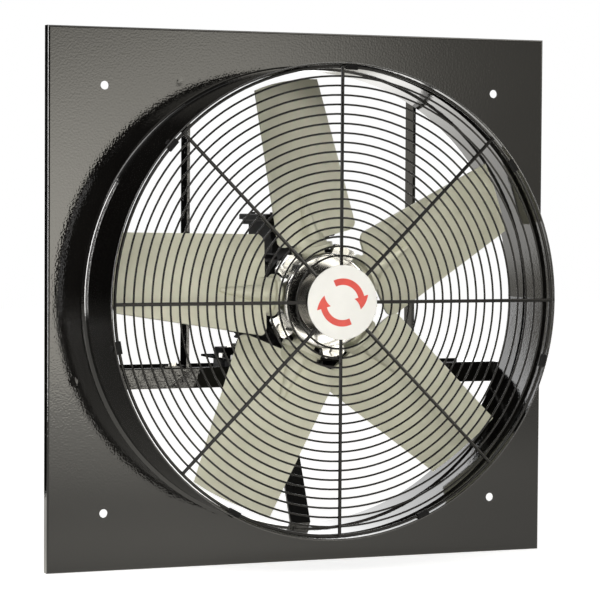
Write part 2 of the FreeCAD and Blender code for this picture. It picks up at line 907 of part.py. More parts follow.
def bearing_balls():
    balls = []
    for rear in (front_bearing_rear, rear_bearing_rear):
        for angle in even_angles(ball_count, 0):
            centre = turned_point(ball_pitch, rear + bearing_width / 2, angle)
            balls.append(Part.makeSphere(ball_radius, centre))
    return Part.makeCompound(balls)


def bearing_spring():
    outer = bearing_outside / 2 - casting_fit
    inner = bearing_outside / 2 - bearing_ring + casting_fit
    return tube(inner, outer, rear_bearing_rear - spring_thickness, rear_bearing_rear)


# Terminal box

def boss_places():
    return [(x, housing_middle + y) for x in (-boss_offset, boss_offset) for y in (-boss_offset, boss_offset)]


def square_block(side, z0, z1):
    half = side / 2
    return block(-half, half, housing_middle - half, housing_middle + half, z0, z1)


def gland_z():
    return pad_top_z + (box_height - box_flange_height) / 2


def terminal_box():
    """An open box with a flange, a screw boss in each corner and a threaded inlet on its right side."""
    flange = square_block(box_side + 2 * box_flange, box_top - box_flange_height, box_top)
    box = square_block(box_side, pad_top_z, box_top).fuse(flange)
    inside = square_block(box_side - 2 * box_wall, pad_top_z + box_wall, box_top)
    bosses = [rod(point(x, front, pad_top_z), UP, box_height, boss_diameter / 2)
              for x, front in boss_places()]
    box = fused([box.cut(inside)] + bosses)
    for x, front in boss_places():
        hole = rod(point(x, front, box_top), DOWN, 2 * screw_grip * lid_thread, lid_thread / 2 + rivet_fit)
        box = box.cut(hole)
    box = box.cut(rod(point(0, housing_middle, pad_top_z), UP, box_wall, lead_hole / 2))
    inlet = point(box_side / 2 - box_wall, housing_middle, gland_z())
    return box.cut(rod(inlet, RIGHT, box_wall, gland_thread / 2 + rivet_fit))


def terminal_gasket():
    frame = square_block(box_side + 2 * box_flange, box_top, gasket_top)
    frame = frame.cut(square_block(box_side - 2 * gasket_width, box_top, gasket_top))
    for x, front in boss_places():
        frame = frame.cut(bore(point(x, front, box_top), UP, gasket_thickness, lid_thread))
    return frame


def terminal_lid():
    lid = square_block(lid_side, gasket_top, lid_top)
    edges = [edge for edge in lid.Edges if abs(edge.BoundBox.ZMin - lid_top) < hair]
    lid = lid.makeFillet(lid_round, edges)
    for x, front in boss_places():
        lid = lid.cut(bore(point(x, front, gasket_top), UP, lid_thickness, lid_thread))
    return lid


def lid_screws():
    length = lid_thickness + gasket_thickness + screw_grip * lid_thread
    return Part.makeCompound([hex_bolt(point(x, front, lid_top), DOWN, lid_thread, length)
                              for x, front in boss_places()])


def terminal_block():
    """The connection block beside the lead hole, with two rows of three studs."""
    floor = pad_top_z + box_wall
    front = housing_middle - lead_hole / 2 - block_width / 2 - box_wall / 2
    base = block(-block_length / 2, block_length / 2, front - block_width / 2, front + block_width / 2,
                 floor, floor + block_height)
    pieces = [base]
    for column in (-1, 0, 1):
        for row in (-1, 1):
            spot = point(column * block_length / 3, front + row * block_width / 4, floor)
            pieces.append(rod(spot, UP, block_height + block_stud_height, block_stud / 2))
    return fused(pieces)


def cable_gland():
    """The cable inlet: threaded neck through the box wall, body and clamping nut."""
    wall = box_side / 2
    start = point(wall - box_wall, housing_middle, gland_z())
    seat = point(wall, housing_middle, gland_z())
    nut_seat = point(wall + gland_body, housing_middle, gland_z())
    neck = rod(start, RIGHT, box_wall, gland_thread / 2)
    body = hexagon(seat, RIGHT, gland_flats, gland_body)
    nut = Part.makeCone(gland_flats / 2, gland_thread / 2, gland_nut, nut_seat, RIGHT)
    passage = rod(start, RIGHT, box_wall + gland_body + gland_nut, gland_bore / 2)
    return fused([neck, body, nut]).cut(passage)


# Turning pieces

def motor_shaft():
    """The stepped shaft: rotor seat, two journals and the keyed extension."""
    tip = shaft_tip - shaft_recess
    profile = [
        (0, rear_bearing_rear), (journal_diameter / 2, rear_bearing_rear),
        (journal_diameter / 2, rear_bearing_front), (rotor_seat_diameter / 2, rear_bearing_front),
        (rotor_seat_diameter / 2, front_bearing_rear), (journal_diameter / 2, front_bearing_rear),
        (journal_diameter / 2, shoulder), (shaft_diameter / 2, shoulder), (shaft_diameter / 2, tip), (0, tip),
    ]
    shaft = lathe(profile).cut(key_shape(0))
    return shaft.cut(rod(point(0, tip, 0), BACKWARD, end_screw_depth, end_thread / 2 + rivet_fit))


def key_shape(fit):
    half = key_width / 2 + fit
    middle = (shoulder + shaft_tip) / 2
    low = shaft_diameter / 2 - key_sink
    return block(-half, half, middle - key_length / 2, middle + key_length / 2, low, low + key_height + fit)


def shaft_key():
    return key_shape(0)


def rotor_core():
    """The rotor stack with its cast end rings."""
    seat = rotor_seat_diameter / 2
    ring_outer = rotor_diameter / 2 - slot_lip
    ring_inner = ring_outer - end_ring_width
    stack = tube(seat, rotor_diameter / 2, stator_rear, stator_front)
    front_ring = tube(ring_inner, ring_outer, stator_front, stator_front + end_ring_height)
    rear_ring = tube(ring_inner, ring_outer, stator_rear - end_ring_height, stator_rear)
    return fused([stack, front_ring, rear_ring])


def shaft_seal():
    inner = journal_diameter / 2
    rear = shield_front + running_gap
    lip = inner + seal_wall
    front = rear + seal_width
    return lathe([(inner, rear), (lip, rear), (inner + seal_wall / 2, front), (inner, front)])


def blade_angles():
    return [blade_angle - FULL_TURN * index / blade_count for index in range(blade_count)]


def hub_bolt_angles():
    return [angle + FULL_TURN / blade_count / 2 for angle in blade_angles()]


def hub_bush():
    bush = tube(bush_bore, bush_radius, shoulder, shaft_tip)
    half = bush_flange_thickness / 2
    flange = tube(bush_bore, bush_flange_diameter / 2, blade_plane - half, blade_plane + half)
    length = shaft_tip - shoulder
    keyway = block(-key_width / 2 - key_fit, key_width / 2 + key_fit, shoulder, shoulder + length, 0,
                   shaft_diameter / 2 - key_sink + key_height + key_fit)
    return fused([bush, flange]).cut(keyway)


def hub_front_half():
    """The front clamp casting: a rounded rim with half-sockets, a dished web and spot-faced bolt tabs."""
    bore_radius = bush_radius + casting_fit
    rim_outer = hub_radius - hub_shoulder
    rim_inner = rim_outer - hub_rim
    shoulder_start = hub_half_height - hub_shoulder
    bulge = hub_shoulder * math.sqrt(0.5)
    arc_mid = point(rim_outer + bulge, blade_plane + shoulder_start + bulge, 0)
    corners = [
        point(bore_radius, blade_plane, 0), point(hub_radius, blade_plane, 0),
        point(hub_radius, blade_plane + shoulder_start, 0),
        (arc_mid, point(rim_outer, blade_plane + hub_half_height, 0)),
        point(rim_inner, blade_plane + hub_half_height, 0),
        point(hub_dish_diameter / 2, blade_plane + hub_web, 0),
        point(bore_radius, blade_plane + hub_web, 0),
    ]
    pieces = [outline_face(corners).revolve(ORIGIN, BACKWARD, FULL_TURN)]
    for angle in hub_bolt_angles():
        pieces.append(turned(clamp_tab(rim_inner), angle))
    half = fused(pieces)
    cuts = [tube(0, bush_flange_diameter / 2 + casting_fit, blade_plane,
                 blade_plane + bush_flange_thickness / 2)]
    for angle in hub_bolt_angles():
        seat = turned_point(hub_bolt_circle, blade_plane, angle)
        cuts.append(bore(seat, FORWARD, hub_flange_height, hub_thread))
        spot = turned_point(hub_bolt_circle, blade_plane + hub_flange_height, angle)
        cuts.append(rod(spot, FORWARD, hub_half_height, hub_spot_diameter / 2))
    for angle in blade_angles():
        cuts.append(turned(root_socket(), angle))
    return half.cut(Part.makeCompound(cuts))


def clamp_tab(inner):
    """The flat tab along +X that takes one clamp bolt, with its outer corners cut off."""
    outer = hub_bolt_circle + hub_tab_edge
    half = hub_tab_width / 2
    outline = [
        (inner, -half), (outer - hub_tab_corner, -half), (outer, hub_tab_corner - half),
        (outer, half - hub_tab_corner), (outer - hub_tab_corner, half), (inner, half),
    ]
    return outline_face([point(x, blade_plane, z) for x, z in outline]).extrude(FORWARD * hub_flange_height)


def hub_rear_half():
    return hub_front_half().mirror(point(0, blade_plane, 0), FORWARD)


def root_socket():
    """The round socket for a blade root along +X, with its retaining groove."""
    return root_pin(casting_fit, flange_start)


def root_pin(fit, end):
    start = socket_inner - fit
    groove_start = socket_inner + root_collar_width / 2 - fit
    pin = rod(point(start, blade_plane, 0), RIGHT, end - start, root_pin_diameter / 2 + fit)
    collar = rod(point(groove_start, blade_plane, 0), RIGHT, root_collar_width + 2 * fit,
                 root_collar_diameter / 2 + fit)
    return fused([pin, collar])


def hub_bolts():
    length = 2 * hub_flange_height + thread_tail * nut_height(hub_thread)
    seats = [turned_point(hub_bolt_circle, blade_plane + hub_flange_height, angle)
             for angle in hub_bolt_angles()]
    return Part.makeCompound([hex_bolt(seat, BACKWARD, hub_thread, length) for seat in seats])


def hub_nuts():
    seats = [turned_point(hub_bolt_circle, blade_plane - hub_flange_height, angle)
             for angle in hub_bolt_angles()]
    return Part.makeCompound([hex_nut(seat, BACKWARD, hub_thread) for seat in seats])


def blade_point(radius, chord, normal):
    """A point of a blade along +X, from its place across the chord and off the chord."""
    pitch = math.radians(blade_pitch)
    along = chord * math.cos(pitch) - normal * math.sin(pitch)
    forward = chord * math.sin(pitch) + normal * math.cos(pitch)
    return point(radius, blade_plane + forward, along)


def blade_section(radius, front_reach, back_reach, thickness):
    """A cambered section, hollow towards the front, as two arcs and two thin edges."""
    edge = blade_edge_thickness / 2
    middle = (front_reach - back_reach) / 2
    rear_mid = blade_point(radius, middle, -blade_camber - thickness / 2)
    front_mid = blade_point(radius, middle, -blade_camber + thickness / 2)
    corners = [
        blade_point(radius, -back_reach, edge), blade_point(radius, -back_reach, -edge),
        (rear_mid, blade_point(radius, front_reach, -edge)),
        blade_point(radius, front_reach, edge),
        (front_mid, blade_point(radius, -back_reach, edge)),
    ]
    return outline_face(corners).OuterWire


def blade_planform():
    """The blade's outline seen from the front: a round tip and rounded root corners."""
    pitch = math.cos(math.radians(blade_pitch))
    tip = impeller_diameter / 2
    depth = blade_plane + hub_diameter
    sheet = outline_face([
        point(wing_root, depth, -blade_back_reach_root * pitch - blade_trim),
        point(tip + blade_trim, depth, -blade_back_reach_tip * pitch - blade_trim),
        point(tip + blade_trim, depth, blade_front_reach_tip * pitch + blade_trim),
        point(wing_root, depth, blade_front_reach_root * pitch + blade_trim),
    ])
    prism = sheet.extrude(BACKWARD * (2 * hub_diameter))
    corners = [edge for edge in prism.Edges if edge.BoundBox.XMax < wing_root + blade_trim
               and edge.BoundBox.YLength > hub_diameter]
    prism = prism.makeFillet(blade_root_corner, corners)
    return prism.common(tube(0, tip, blade_plane - hub_diameter, blade_plane + hub_diameter))


def neck_section(radius, reach, height, offset):
    """A two-arc section of the neck: a circle by the flange, a flat lens inside the wing."""
    first = blade_point(radius, reach, offset)
    last = blade_point(radius, -reach, offset)
    front_mid = blade_point(radius, 0, offset + height)
    rear_mid = blade_point(radius, 0, offset - height)
    return outline_face([first, (front_mid, last), (rear_mid, first)]).OuterWire


def blade_root():
    """The clamped pin with its collar, the round flange outside the hub, the neck and the fairing."""
    flange = rod(point(flange_start, blade_plane, 0), RIGHT, root_flange_thickness, root_flange_diameter / 2)
    neck_radius = root_neck_diameter / 2
    neck_start = flange_end - root_flange_thickness / 2
    neck = Part.makeLoft([
        neck_section(neck_start, neck_radius, neck_radius, 0),
        neck_section(wing_root + blade_root_corner, root_neck_reach, root_neck_thickness / 2, -blade_camber),
    ], True, True)
    fairing = Part.makeCone(root_pin_diameter / 2, root_fairing_tip / 2, root_fairing_length,
                            point(neck_start, blade_plane, 0), RIGHT)
    return fused([root_pin(0, neck_start), flange, neck, fairing])


def blade():
    """One moulded blade along +X."""
    root_section = blade_section(wing_root, blade_front_reach_root,
                                 blade_back_reach_root, blade_root_thickness)
    tip_section = blade_section(impeller_diameter / 2 + blade_trim, blade_front_reach_tip,
                                blade_back_reach_tip, blade_tip_thickness)
    wing = Part.makeLoft([root_section, tip_section], True, True).common(blade_planform())
    return fused([wing, blade_root()])


def end_washer():
    front = shaft_tip + end_washer_thickness
    return tube(end_thread / 2 + rivet_fit, end_washer_diameter / 2, shaft_tip, front)


def end_screw():
    seat = point(0, shaft_tip + end_washer_thickness, 0)
    return hex_bolt(seat, BACKWARD, end_thread, end_screw_depth)


def all_parts():
    parts = {
        "wall_plate": wall_plate(), "shroud": shroud(),
        "guard_rings": guard_rings(), "guard_spokes": guard_spokes(),
        "guard_disc": guard_disc(), "guard_badge": guard_badge(),
        "guard_clips": guard_clips(), "clip_rivets": clip_rivets(),
        "motor_shelf": motor_shelf(), "left_upright": upright(-1), "right_upright": upright(1),
        "lower_brace": lower_brace(), "frame_studs": frame_studs(), "frame_nuts": frame_nuts(),
        "shelf_bolts": shelf_bolts(), "shelf_nuts": shelf_nuts(),
        "base_plate": base_plate(), "rubber_pads": rubber_pads(),
        "pad_bolts": pad_bolts(), "pad_nuts": pad_nuts(),
        "foot_bolts": foot_bolts(), "foot_nuts": foot_nuts(),
        "motor_housing": motor_housing(), "front_shield": front_shield(), "rear_shield": rear_shield(),
        "shield_bolts": shield_bolts(), "stator_core": stator_core(), "stator_winding": stator_winding(),
        "front_bearing_outer": bearing_outer(front_bearing_rear),
        "rear_bearing_outer": bearing_outer(rear_bearing_rear), "bearing_spring": bearing_spring(),
        "terminal_box": terminal_box(), "terminal_gasket": terminal_gasket(),
        "terminal_lid": terminal_lid(), "lid_screws": lid_screws(),
        "terminal_block": terminal_block(), "cable_gland": cable_gland(),
        "motor_shaft": motor_shaft(), "rotor_core": rotor_core(),
        "front_bearing_inner": bearing_inner(front_bearing_rear),
        "rear_bearing_inner": bearing_inner(rear_bearing_rear), "bearing_balls": bearing_balls(),
        "shaft_seal": shaft_seal(), "shaft_key": shaft_key(), "hub_bush": hub_bush(),
        "hub_front_half": hub_front_half(), "hub_rear_half": hub_rear_half(),
        "hub_bolts": hub_bolts(), "hub_nuts": hub_nuts(),
        "end_washer": end_washer(), "end_screw": end_screw(),
    }
    moulded = blade()
    for number, angle in enumerate(blade_angles(), start=1):
        parts["blade_" + str(number)] = turned(moulded, angle)
    return parts


def main():
    os.makedirs("parts", exist_ok=True)
    for name, shape in all_parts().items():
        shape.exportStep("parts/" + name + ".step")
        print(name, len(shape.Solids), "solids", round(shape.Volume / 1000, 2), "cm3", shape.isValid())


main()
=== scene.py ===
# %% [markdown]
# # Dressing an industrial axial fan
# The fan is a square sheet-steel plate with a drum through it, a wire guard in front, an impeller with
# five moulded blades, and a motor on a shelf behind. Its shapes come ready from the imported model, in
# metres, with the fan axis along Y and the guard towards -Y. This lesson gives every piece its finish,
# adds the small forms that a solid model leaves out, and sets up a plain white studio around it.

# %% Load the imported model
import json
import math
import random

import bmesh
import bpy
from mathutils import Matrix, Vector, noise


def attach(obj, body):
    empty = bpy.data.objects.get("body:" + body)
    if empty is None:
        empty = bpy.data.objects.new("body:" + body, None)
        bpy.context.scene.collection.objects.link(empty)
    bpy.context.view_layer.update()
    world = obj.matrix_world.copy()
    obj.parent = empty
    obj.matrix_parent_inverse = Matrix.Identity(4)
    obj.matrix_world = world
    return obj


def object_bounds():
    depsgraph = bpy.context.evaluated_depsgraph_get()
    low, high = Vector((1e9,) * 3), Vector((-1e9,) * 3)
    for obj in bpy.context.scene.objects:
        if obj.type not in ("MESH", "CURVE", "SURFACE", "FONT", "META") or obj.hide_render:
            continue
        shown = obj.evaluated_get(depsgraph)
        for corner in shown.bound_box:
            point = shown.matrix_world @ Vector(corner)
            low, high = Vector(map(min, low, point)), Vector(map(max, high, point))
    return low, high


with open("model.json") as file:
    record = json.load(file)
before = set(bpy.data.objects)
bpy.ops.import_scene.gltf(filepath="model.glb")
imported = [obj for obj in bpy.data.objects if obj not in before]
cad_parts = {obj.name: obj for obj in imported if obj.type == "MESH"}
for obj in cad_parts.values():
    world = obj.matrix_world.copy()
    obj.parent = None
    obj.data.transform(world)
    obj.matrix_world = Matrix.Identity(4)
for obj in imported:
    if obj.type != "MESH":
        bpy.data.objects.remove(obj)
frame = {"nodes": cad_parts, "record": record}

cad_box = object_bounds()
nodes = frame["nodes"]
scene = bpy.context.scene
print("nodes:", len(nodes), "box:", [[round(v, 4) for v in corner] for corner in cad_box])

# %% [markdown]
# ## Camera
# The picture was taken from a little left of the fan axis with a long lens, so the square plate is seen
# as a trapezium that is taller on the left. A camera could be aimed with a Track To constraint, but the
# slight roll of the picture would be lost. Here the three angles build the rotation directly: yaw and
# pitch give the line of sight, and roll turns the other two axes about it.

# %% Camera at the viewing angle of the picture
picture_side = 600
focal_pixels = 2459.7
sensor_width = 36.0
camera_place = Vector((-1.1874, -3.0275, 0.1378))
camera_yaw = math.radians(21.328)
camera_pitch = math.radians(-2.472)
camera_roll = math.radians(0.365)


def camera_axes(yaw, pitch, roll):
    sight = Vector((math.sin(yaw) * math.cos(pitch), math.cos(yaw) * math.cos(pitch), math.sin(pitch)))
    level = Vector((math.cos(yaw), -math.sin(yaw), 0))
    upright = level.cross(sight)
    right = math.cos(roll) * level + math.sin(roll) * upright
    up = math.cos(roll) * upright - math.sin(roll) * level
    return Matrix((right, up, -sight)).transposed()


lens = bpy.data.cameras.new("picture_camera")
lens.sensor_width = sensor_width
lens.lens = focal_pixels / picture_side * sensor_width
camera = bpy.data.objects.new("picture_camera", lens)
camera.matrix_world = (Matrix.Translation(camera_place)
                       @ camera_axes(camera_yaw, camera_pitch, camera_roll).to_4x4())
scene.collection.objects.link(camera)
scene.camera = camera
scene.view_settings.view_transform = "Standard"
print("lens", round(lens.lens, 2), "mm, distance", round(camera_place.length, 3), "m")

# %% [markdown]
# ## Short words for node trees
# Shader trees are long to write in Python, because each node is made, set and linked in separate lines.
# A few helpers shorten that. `put` makes a node and fills its inputs by name, with numbers or with the
# outputs of other nodes. `figure` is one Math node, `total` adds up several values, `remap` stretches a
# range, `mix` blends two colours, and `join_shaders` blends or adds two shaders. `bell` is a smooth bump
# around a point, for pools of light and for dents.

# %% Helpers for node trees
MIX_FACTOR = 0
MIX_COLOUR_A = 6
MIX_COLOUR_B = 7
MIX_COLOUR_RESULT = 2


def feed(tree, socket, value):
    if isinstance(value, bpy.types.NodeSocket):
        tree.links.new(value, socket)
    else:
        socket.default_value = value


def put(tree, kind, options=None, **inputs):
    node = tree.nodes.new(kind)
    for name, value in (options or {}).items():
        setattr(node, name, value)
    for name, value in inputs.items():
        feed(tree, node.inputs[name.replace("_", " ")], value)
    return node


def figure(tree, operation, *terms):
    node = put(tree, "ShaderNodeMath", {"operation": operation})
    for socket, term in zip(node.inputs, terms):
        feed(tree, socket, term)
    return node.outputs[0]


def vector_figure(tree, operation, first, second):
    node = put(tree, "ShaderNodeVectorMath", {"operation": operation})
    feed(tree, node.inputs[0], first)
    feed(tree, node.inputs[1], second)
    return node.outputs


def total(tree, *terms):
    amount = terms[0]
    for term in terms[1:]:
        amount = figure(tree, "ADD", amount, term)
    return amount


def remap(tree, value, low, high, out_low=0.0, out_high=1.0):
    node = put(tree, "ShaderNodeMapRange", Value=value, From_Min=low, From_Max=high,
               To_Min=out_low, To_Max=out_high)
    return node.outputs["Result"]


def mix(tree, factor, first, second):
    node = put(tree, "ShaderNodeMix", {"data_type": "RGBA"})
    feed(tree, node.inputs[MIX_FACTOR], factor)
    feed(tree, node.inputs[MIX_COLOUR_A], first)
    feed(tree, node.inputs[MIX_COLOUR_B], second)
    return node.outputs[MIX_COLOUR_RESULT]


def place_on_piece(tree):
    return put(tree, "ShaderNodeTexCoord").outputs["Object"]


def bell(tree, place, centre, spread, peak):
    """A bell curve about the centre, as wide as the spread along each axis."""
    offset = vector_figure(tree, "SUBTRACT", place, centre)["Vector"]
    scaled = vector_figure(tree, "DIVIDE", offset, spread)["Vector"]
    square = vector_figure(tree, "DOT_PRODUCT", scaled, scaled)["Value"]
    curve = figure(tree, "EXPONENT", figure(tree, "MULTIPLY", square, -1.0))
    return figure(tree, "MULTIPLY", curve, peak)


def bells(tree, bumps):
    place = place_on_piece(tree)
    return [bell(tree, place, **bump) for bump in bumps]


def rgb(red, green, blue):
    return (red, green, blue, 1.0)


def join_shaders(tree, kind, first, second, **inputs):
    node = put(tree, kind, **inputs)
    sockets = [socket for socket in node.inputs if socket.type == "SHADER"]
    for socket, shader in zip(sockets, (first, second)):
        tree.links.new(shader.outputs[0], socket)
    return node


def blank_material(name):
    material = bpy.data.materials.new(name)
    material.use_nodes = True
    material.node_tree.nodes.clear()
    return material


print("node helpers ready")

# %% [markdown]
# ## A white room
# The fan stands before plain white. If that white also lit the fan, every colour would wash out, so the
# world has a strength for each kind of ray, told apart by the Light Path node: white for the camera, and
# a low one for the light that falls on matt surfaces. Gloss and glass see a backdrop behind the fan that
# is brighter than white, as an overexposed studio sheet is, and that fades into a dim room on the camera's
# side. The dim side keeps black paint black, and the bright one lights up surfaces seen at a low angle.

# %% World
WHITE = rgb(1.0, 1.0, 1.0)
AMBIENT = 0.28
AMBIENT_TINT = rgb(1.0, 0.985, 0.95)
ROOM_DIM = 0.10
BACKDROP = 2.4
ROOM_TINT = rgb(1.0, 0.962, 0.86)
ROOM_WHITE_FROM = -0.25
ROOM_WHITE_TO = 0.45


def seen_in_gloss(tree, path):
    return figure(tree, "MAXIMUM", path.outputs["Is Glossy Ray"], path.outputs["Is Transmission Ray"])


world = bpy.data.worlds.new("white_room")
world.use_nodes = True
scene.world = world
room = world.node_tree
room.nodes.clear()
heading = put(room, "ShaderNodeSeparateXYZ", Vector=put(room, "ShaderNodeTexCoord").outputs["Generated"])
backdrop = remap(room, heading.outputs["Y"], ROOM_WHITE_FROM, ROOM_WHITE_TO, ROOM_DIM, BACKDROP)
path = put(room, "ShaderNodeLightPath")
ambient = put(room, "ShaderNodeBackground", Color=AMBIENT_TINT, Strength=AMBIENT)
mirrored = put(room, "ShaderNodeBackground", Color=WHITE, Strength=backdrop)
plain = put(room, "ShaderNodeBackground", Color=WHITE, Strength=1.0)
lit = join_shaders(room, "ShaderNodeMixShader", ambient, mirrored, Fac=seen_in_gloss(room, path))
whole = join_shaders(room, "ShaderNodeMixShader", lit, plain, Fac=path.outputs["Is Camera Ray"])
put(room, "ShaderNodeOutputWorld", Surface=whole.outputs[0])
print("world: white to look at, ambient", AMBIENT, "and", ROOM_DIM, "in the gloss on the camera's side")

# %% [markdown]
# ## Floor
# The plate stands on its lower edge, so the floor lies just under it. A plain white floor would render
# pale grey here. Its material therefore adds a glow that only the camera and reflections see: lit floor
# reaches white and melts into the room, while the shaded strip under the fan stays visible. The glow
# that gloss sees has the warm tint of the room, with brighter pools where the plate's left half mirrors
# the floor. The farthest of them meets the bright wall, so that no horizon shows in the plate. A white
# pool lies behind the fan, for the upper inside of the drum to mirror.

# %% Floor
FLOOR_HALF = 7.0
FLOOR_GAP = 0.0004
FLOOR_GLOW = 0.80
FLOOR_GLOW_IN_GLOSS = 0.55
FLOOR_DARK = rgb(0.78, 0.78, 0.77)
FLOOR_LIGHT = rgb(0.82, 0.82, 0.81)
FRONT_POOLS = (
    {"centre": (0.2, -1.5, 0.0), "spread": (0.6, 0.9, 1.0), "peak": 1.6},
    {"centre": (-0.15, -0.2, 0.0), "spread": (0.45, 0.4, 1.0), "peak": 0.75},
    {"centre": (0.45, -3.2, 0.0), "spread": (0.5, 1.0, 1.0), "peak": 3.7},
)
REAR_POOL = {"centre": (0.5, 2.0, 0.0), "spread": (1.2, 1.3, 1.0), "peak": 1.7}


def sheet_object(name, corners):
    mesh = bpy.data.meshes.new(name)
    mesh.from_pydata(corners, [], [tuple(range(len(corners)))])
    thing = bpy.data.objects.new(name, mesh)
    scene.collection.objects.link(thing)
    return thing


def level_corners(z, left, right, front, back):
    return [(left, front, z), (right, front, z), (right, back, z), (left, back, z)]


floor_level = cad_box[0][2] - FLOOR_GAP
floor = sheet_object("floor", level_corners(floor_level, -FLOOR_HALF, FLOOR_HALF, -FLOOR_HALF, FLOOR_HALF))
floor_paint = blank_material("floor_paint")
floor.data.materials.append(floor_paint)
tree = floor_paint.node_tree
speckle = put(tree, "ShaderNodeTexNoise", Vector=place_on_piece(tree), Scale=60.0, Detail=3.0)
matt = put(tree, "ShaderNodeBsdfDiffuse", Color=mix(tree, speckle.outputs["Fac"], FLOOR_DARK, FLOOR_LIGHT))
path = put(tree, "ShaderNodeLightPath")
in_gloss = seen_in_gloss(tree, path)
to_camera = figure(tree, "MULTIPLY", path.outputs["Is Camera Ray"], FLOOR_GLOW)
rear_glow = figure(tree, "MULTIPLY", in_gloss, bell(tree, place_on_piece(tree), **REAR_POOL))
gloss_level = total(tree, *bells(tree, FRONT_POOLS), FLOOR_GLOW_IN_GLOSS)
to_gloss = figure(tree, "MULTIPLY", in_gloss, gloss_level)
white_glow = put(tree, "ShaderNodeEmission", Strength=total(tree, to_camera, rear_glow))
warm_glow = put(tree, "ShaderNodeEmission", Color=ROOM_TINT, Strength=to_gloss)
glow = join_shaders(tree, "ShaderNodeAddShader", white_glow, warm_glow)
glowing = join_shaders(tree, "ShaderNodeAddShader", matt, glow)
put(tree, "ShaderNodeOutputMaterial", Surface=glowing.outputs[0])
print("floor at z", round(floor_level, 4), "with", len(FRONT_POOLS), "pools of light in front, one behind")

# %% [markdown]
# ## Softboxes
# The lower blades are bright to their tips and the top one is the darkest, so most of the light comes
# from a fill in front, and the key softbox stands high on the left, where the rim of the drum shades the
# top blade from it. Thin bright lines run along the left bends of the sheet metal, and for those a narrow
# softbox stands straight left of the fan. Each is an Area light; its power is worked out from the
# brightness wanted on its face, so that its mirror image is known before the first render. The fill only
# lights matt surfaces: mirrored in every wire and bend it would turn the black paint grey. The narrow one
# is only mirrored, so that it draws its lines without washing out the badge.

# %% Area lights
def softbox(name, place, target, width, height, face_brightness, colour):
    lamp = bpy.data.lights.new(name, "AREA")
    lamp.shape = "RECTANGLE"
    lamp.size = width
    lamp.size_y = height
    lamp.energy = face_brightness * width * height * math.pi
    lamp.color = colour
    thing = bpy.data.objects.new(name, lamp)
    thing.rotation_euler = (Vector(target) - Vector(place)).to_track_quat("-Z", "Y").to_euler()
    thing.location = place
    scene.collection.objects.link(thing)
    print(name, "power", round(lamp.energy, 1), "W")
    return thing


KEY_COLOUR = (1.0, 0.99, 0.97)
FILL_COLOUR = (1.0, 0.985, 0.955)
FAN_MIDDLE = (0.0, 0.0, 0.0)
UPPER_FAN = (0.0, 0.0, 0.45)

softbox("key_softbox", place=(-1.35, -1.95, 1.8), target=FAN_MIDDLE, width=1.4, height=1.4,
        face_brightness=4.7, colour=KEY_COLOUR)
fill = softbox("fill_softbox", place=(-0.55, -3.2, 0.05), target=FAN_MIDDLE, width=0.9, height=0.7,
               face_brightness=23.5, colour=FILL_COLOUR)
fill.visible_glossy = False
narrow = softbox("left_softbox", place=(-2.6, -0.3, 0.75), target=UPPER_FAN, width=0.6, height=2.4,
                 face_brightness=28.0, colour=KEY_COLOUR)
narrow.visible_diffuse = False

# %% [markdown]
# ## Flags
# The top blade would still catch too much of the key and the fill. Photographers set up black flags for
# that: cloths on stands that keep a lamp off one spot. Two small ones hang between the lamps and the
# guard, hidden from the camera and from reflections, so that only their shadows are seen.

# %% Two flags
FLAG_Y = -0.5
CLOTH_DARK = rgb(0.01, 0.01, 0.01)
CLOTH_LIGHT = rgb(0.03, 0.03, 0.03)


def upright_corners(y, left, right, bottom, top):
    return [(left, y, bottom), (right, y, bottom), (right, y, top), (left, y, top)]


def flag(name, **edges):
    """A black cloth that only keeps lamp light off what stands behind it."""
    cloth = sheet_object(name, upright_corners(FLAG_Y, **edges))
    cloth.visible_camera = False
    cloth.visible_glossy = False
    cloth.data.materials.append(flag_cloth)


flag_cloth = blank_material("flag_cloth")
tree = flag_cloth.node_tree
weave = put(tree, "ShaderNodeTexNoise", Vector=place_on_piece(tree), Scale=400.0, Detail=2.0)
dull = put(tree, "ShaderNodeBsdfDiffuse", Color=mix(tree, weave.outputs["Fac"], CLOTH_DARK, CLOTH_LIGHT))
put(tree, "ShaderNodeOutputMaterial", Surface=dull.outputs[0])
flag("fill_flag", left=-0.19, right=0.0, bottom=0.105, top=0.34)
flag("key_flag", left=-0.42, right=-0.22, bottom=0.48, top=0.74)
print("two flags at y", FLAG_Y)

# %% [markdown]
# ## Cards that only gloss sees
# Gloss paint shows mostly what it mirrors. Seen from the left, the plate mirrors the room on the right: a
# pale wall with soft pools of light, brightest opposite the plate's left half. A lamp would have a hard
# edge in that mirror, so the wall is a sheet whose glow falls off smoothly from each pool. A bright card
# farther right draws the lines along the guard's spokes, and one overhead gives the blades their sheen.
# Black cards do the opposite: one behind the fan on the left keeps the plate's left fold and the left
# upright dark, and a low strip straight behind darkens the shelf's top. A grey card beside them tones
# down the right upright. All these sheets are hidden from the camera and from matt surfaces.

# %% Bright cards
WALL_Y = -3.0
WALL_LEVEL = 0.85
WALL_POOLS = (
    {"centre": (0.45, WALL_Y, 0.0), "spread": (0.5, 1.0, 0.52), "peak": 5.8},
    {"centre": (1.05, WALL_Y, 0.45), "spread": (0.4, 1.0, 0.27), "peak": 2.8},
    {"centre": (1.0, WALL_Y, -0.30), "spread": (0.35, 1.0, 0.2), "peak": 3.6},
)
SIDE_X = 2.4
SIDE_POOL = {"centre": (SIDE_X, -1.9, 1.0), "spread": (1.0, 0.5, 0.5), "peak": 30.0}
CEILING_Z = 2.2
CEILING_POOL = {"centre": (1.1, -1.0, CEILING_Z), "spread": (0.9, 0.8, 1.0), "peak": 6.0}
REAR_Y = 0.8
UPRIGHT_POOL = {"centre": (-0.19, REAR_Y, 0.1), "spread": (1.0, 1.0, 1.0), "peak": 0.65}


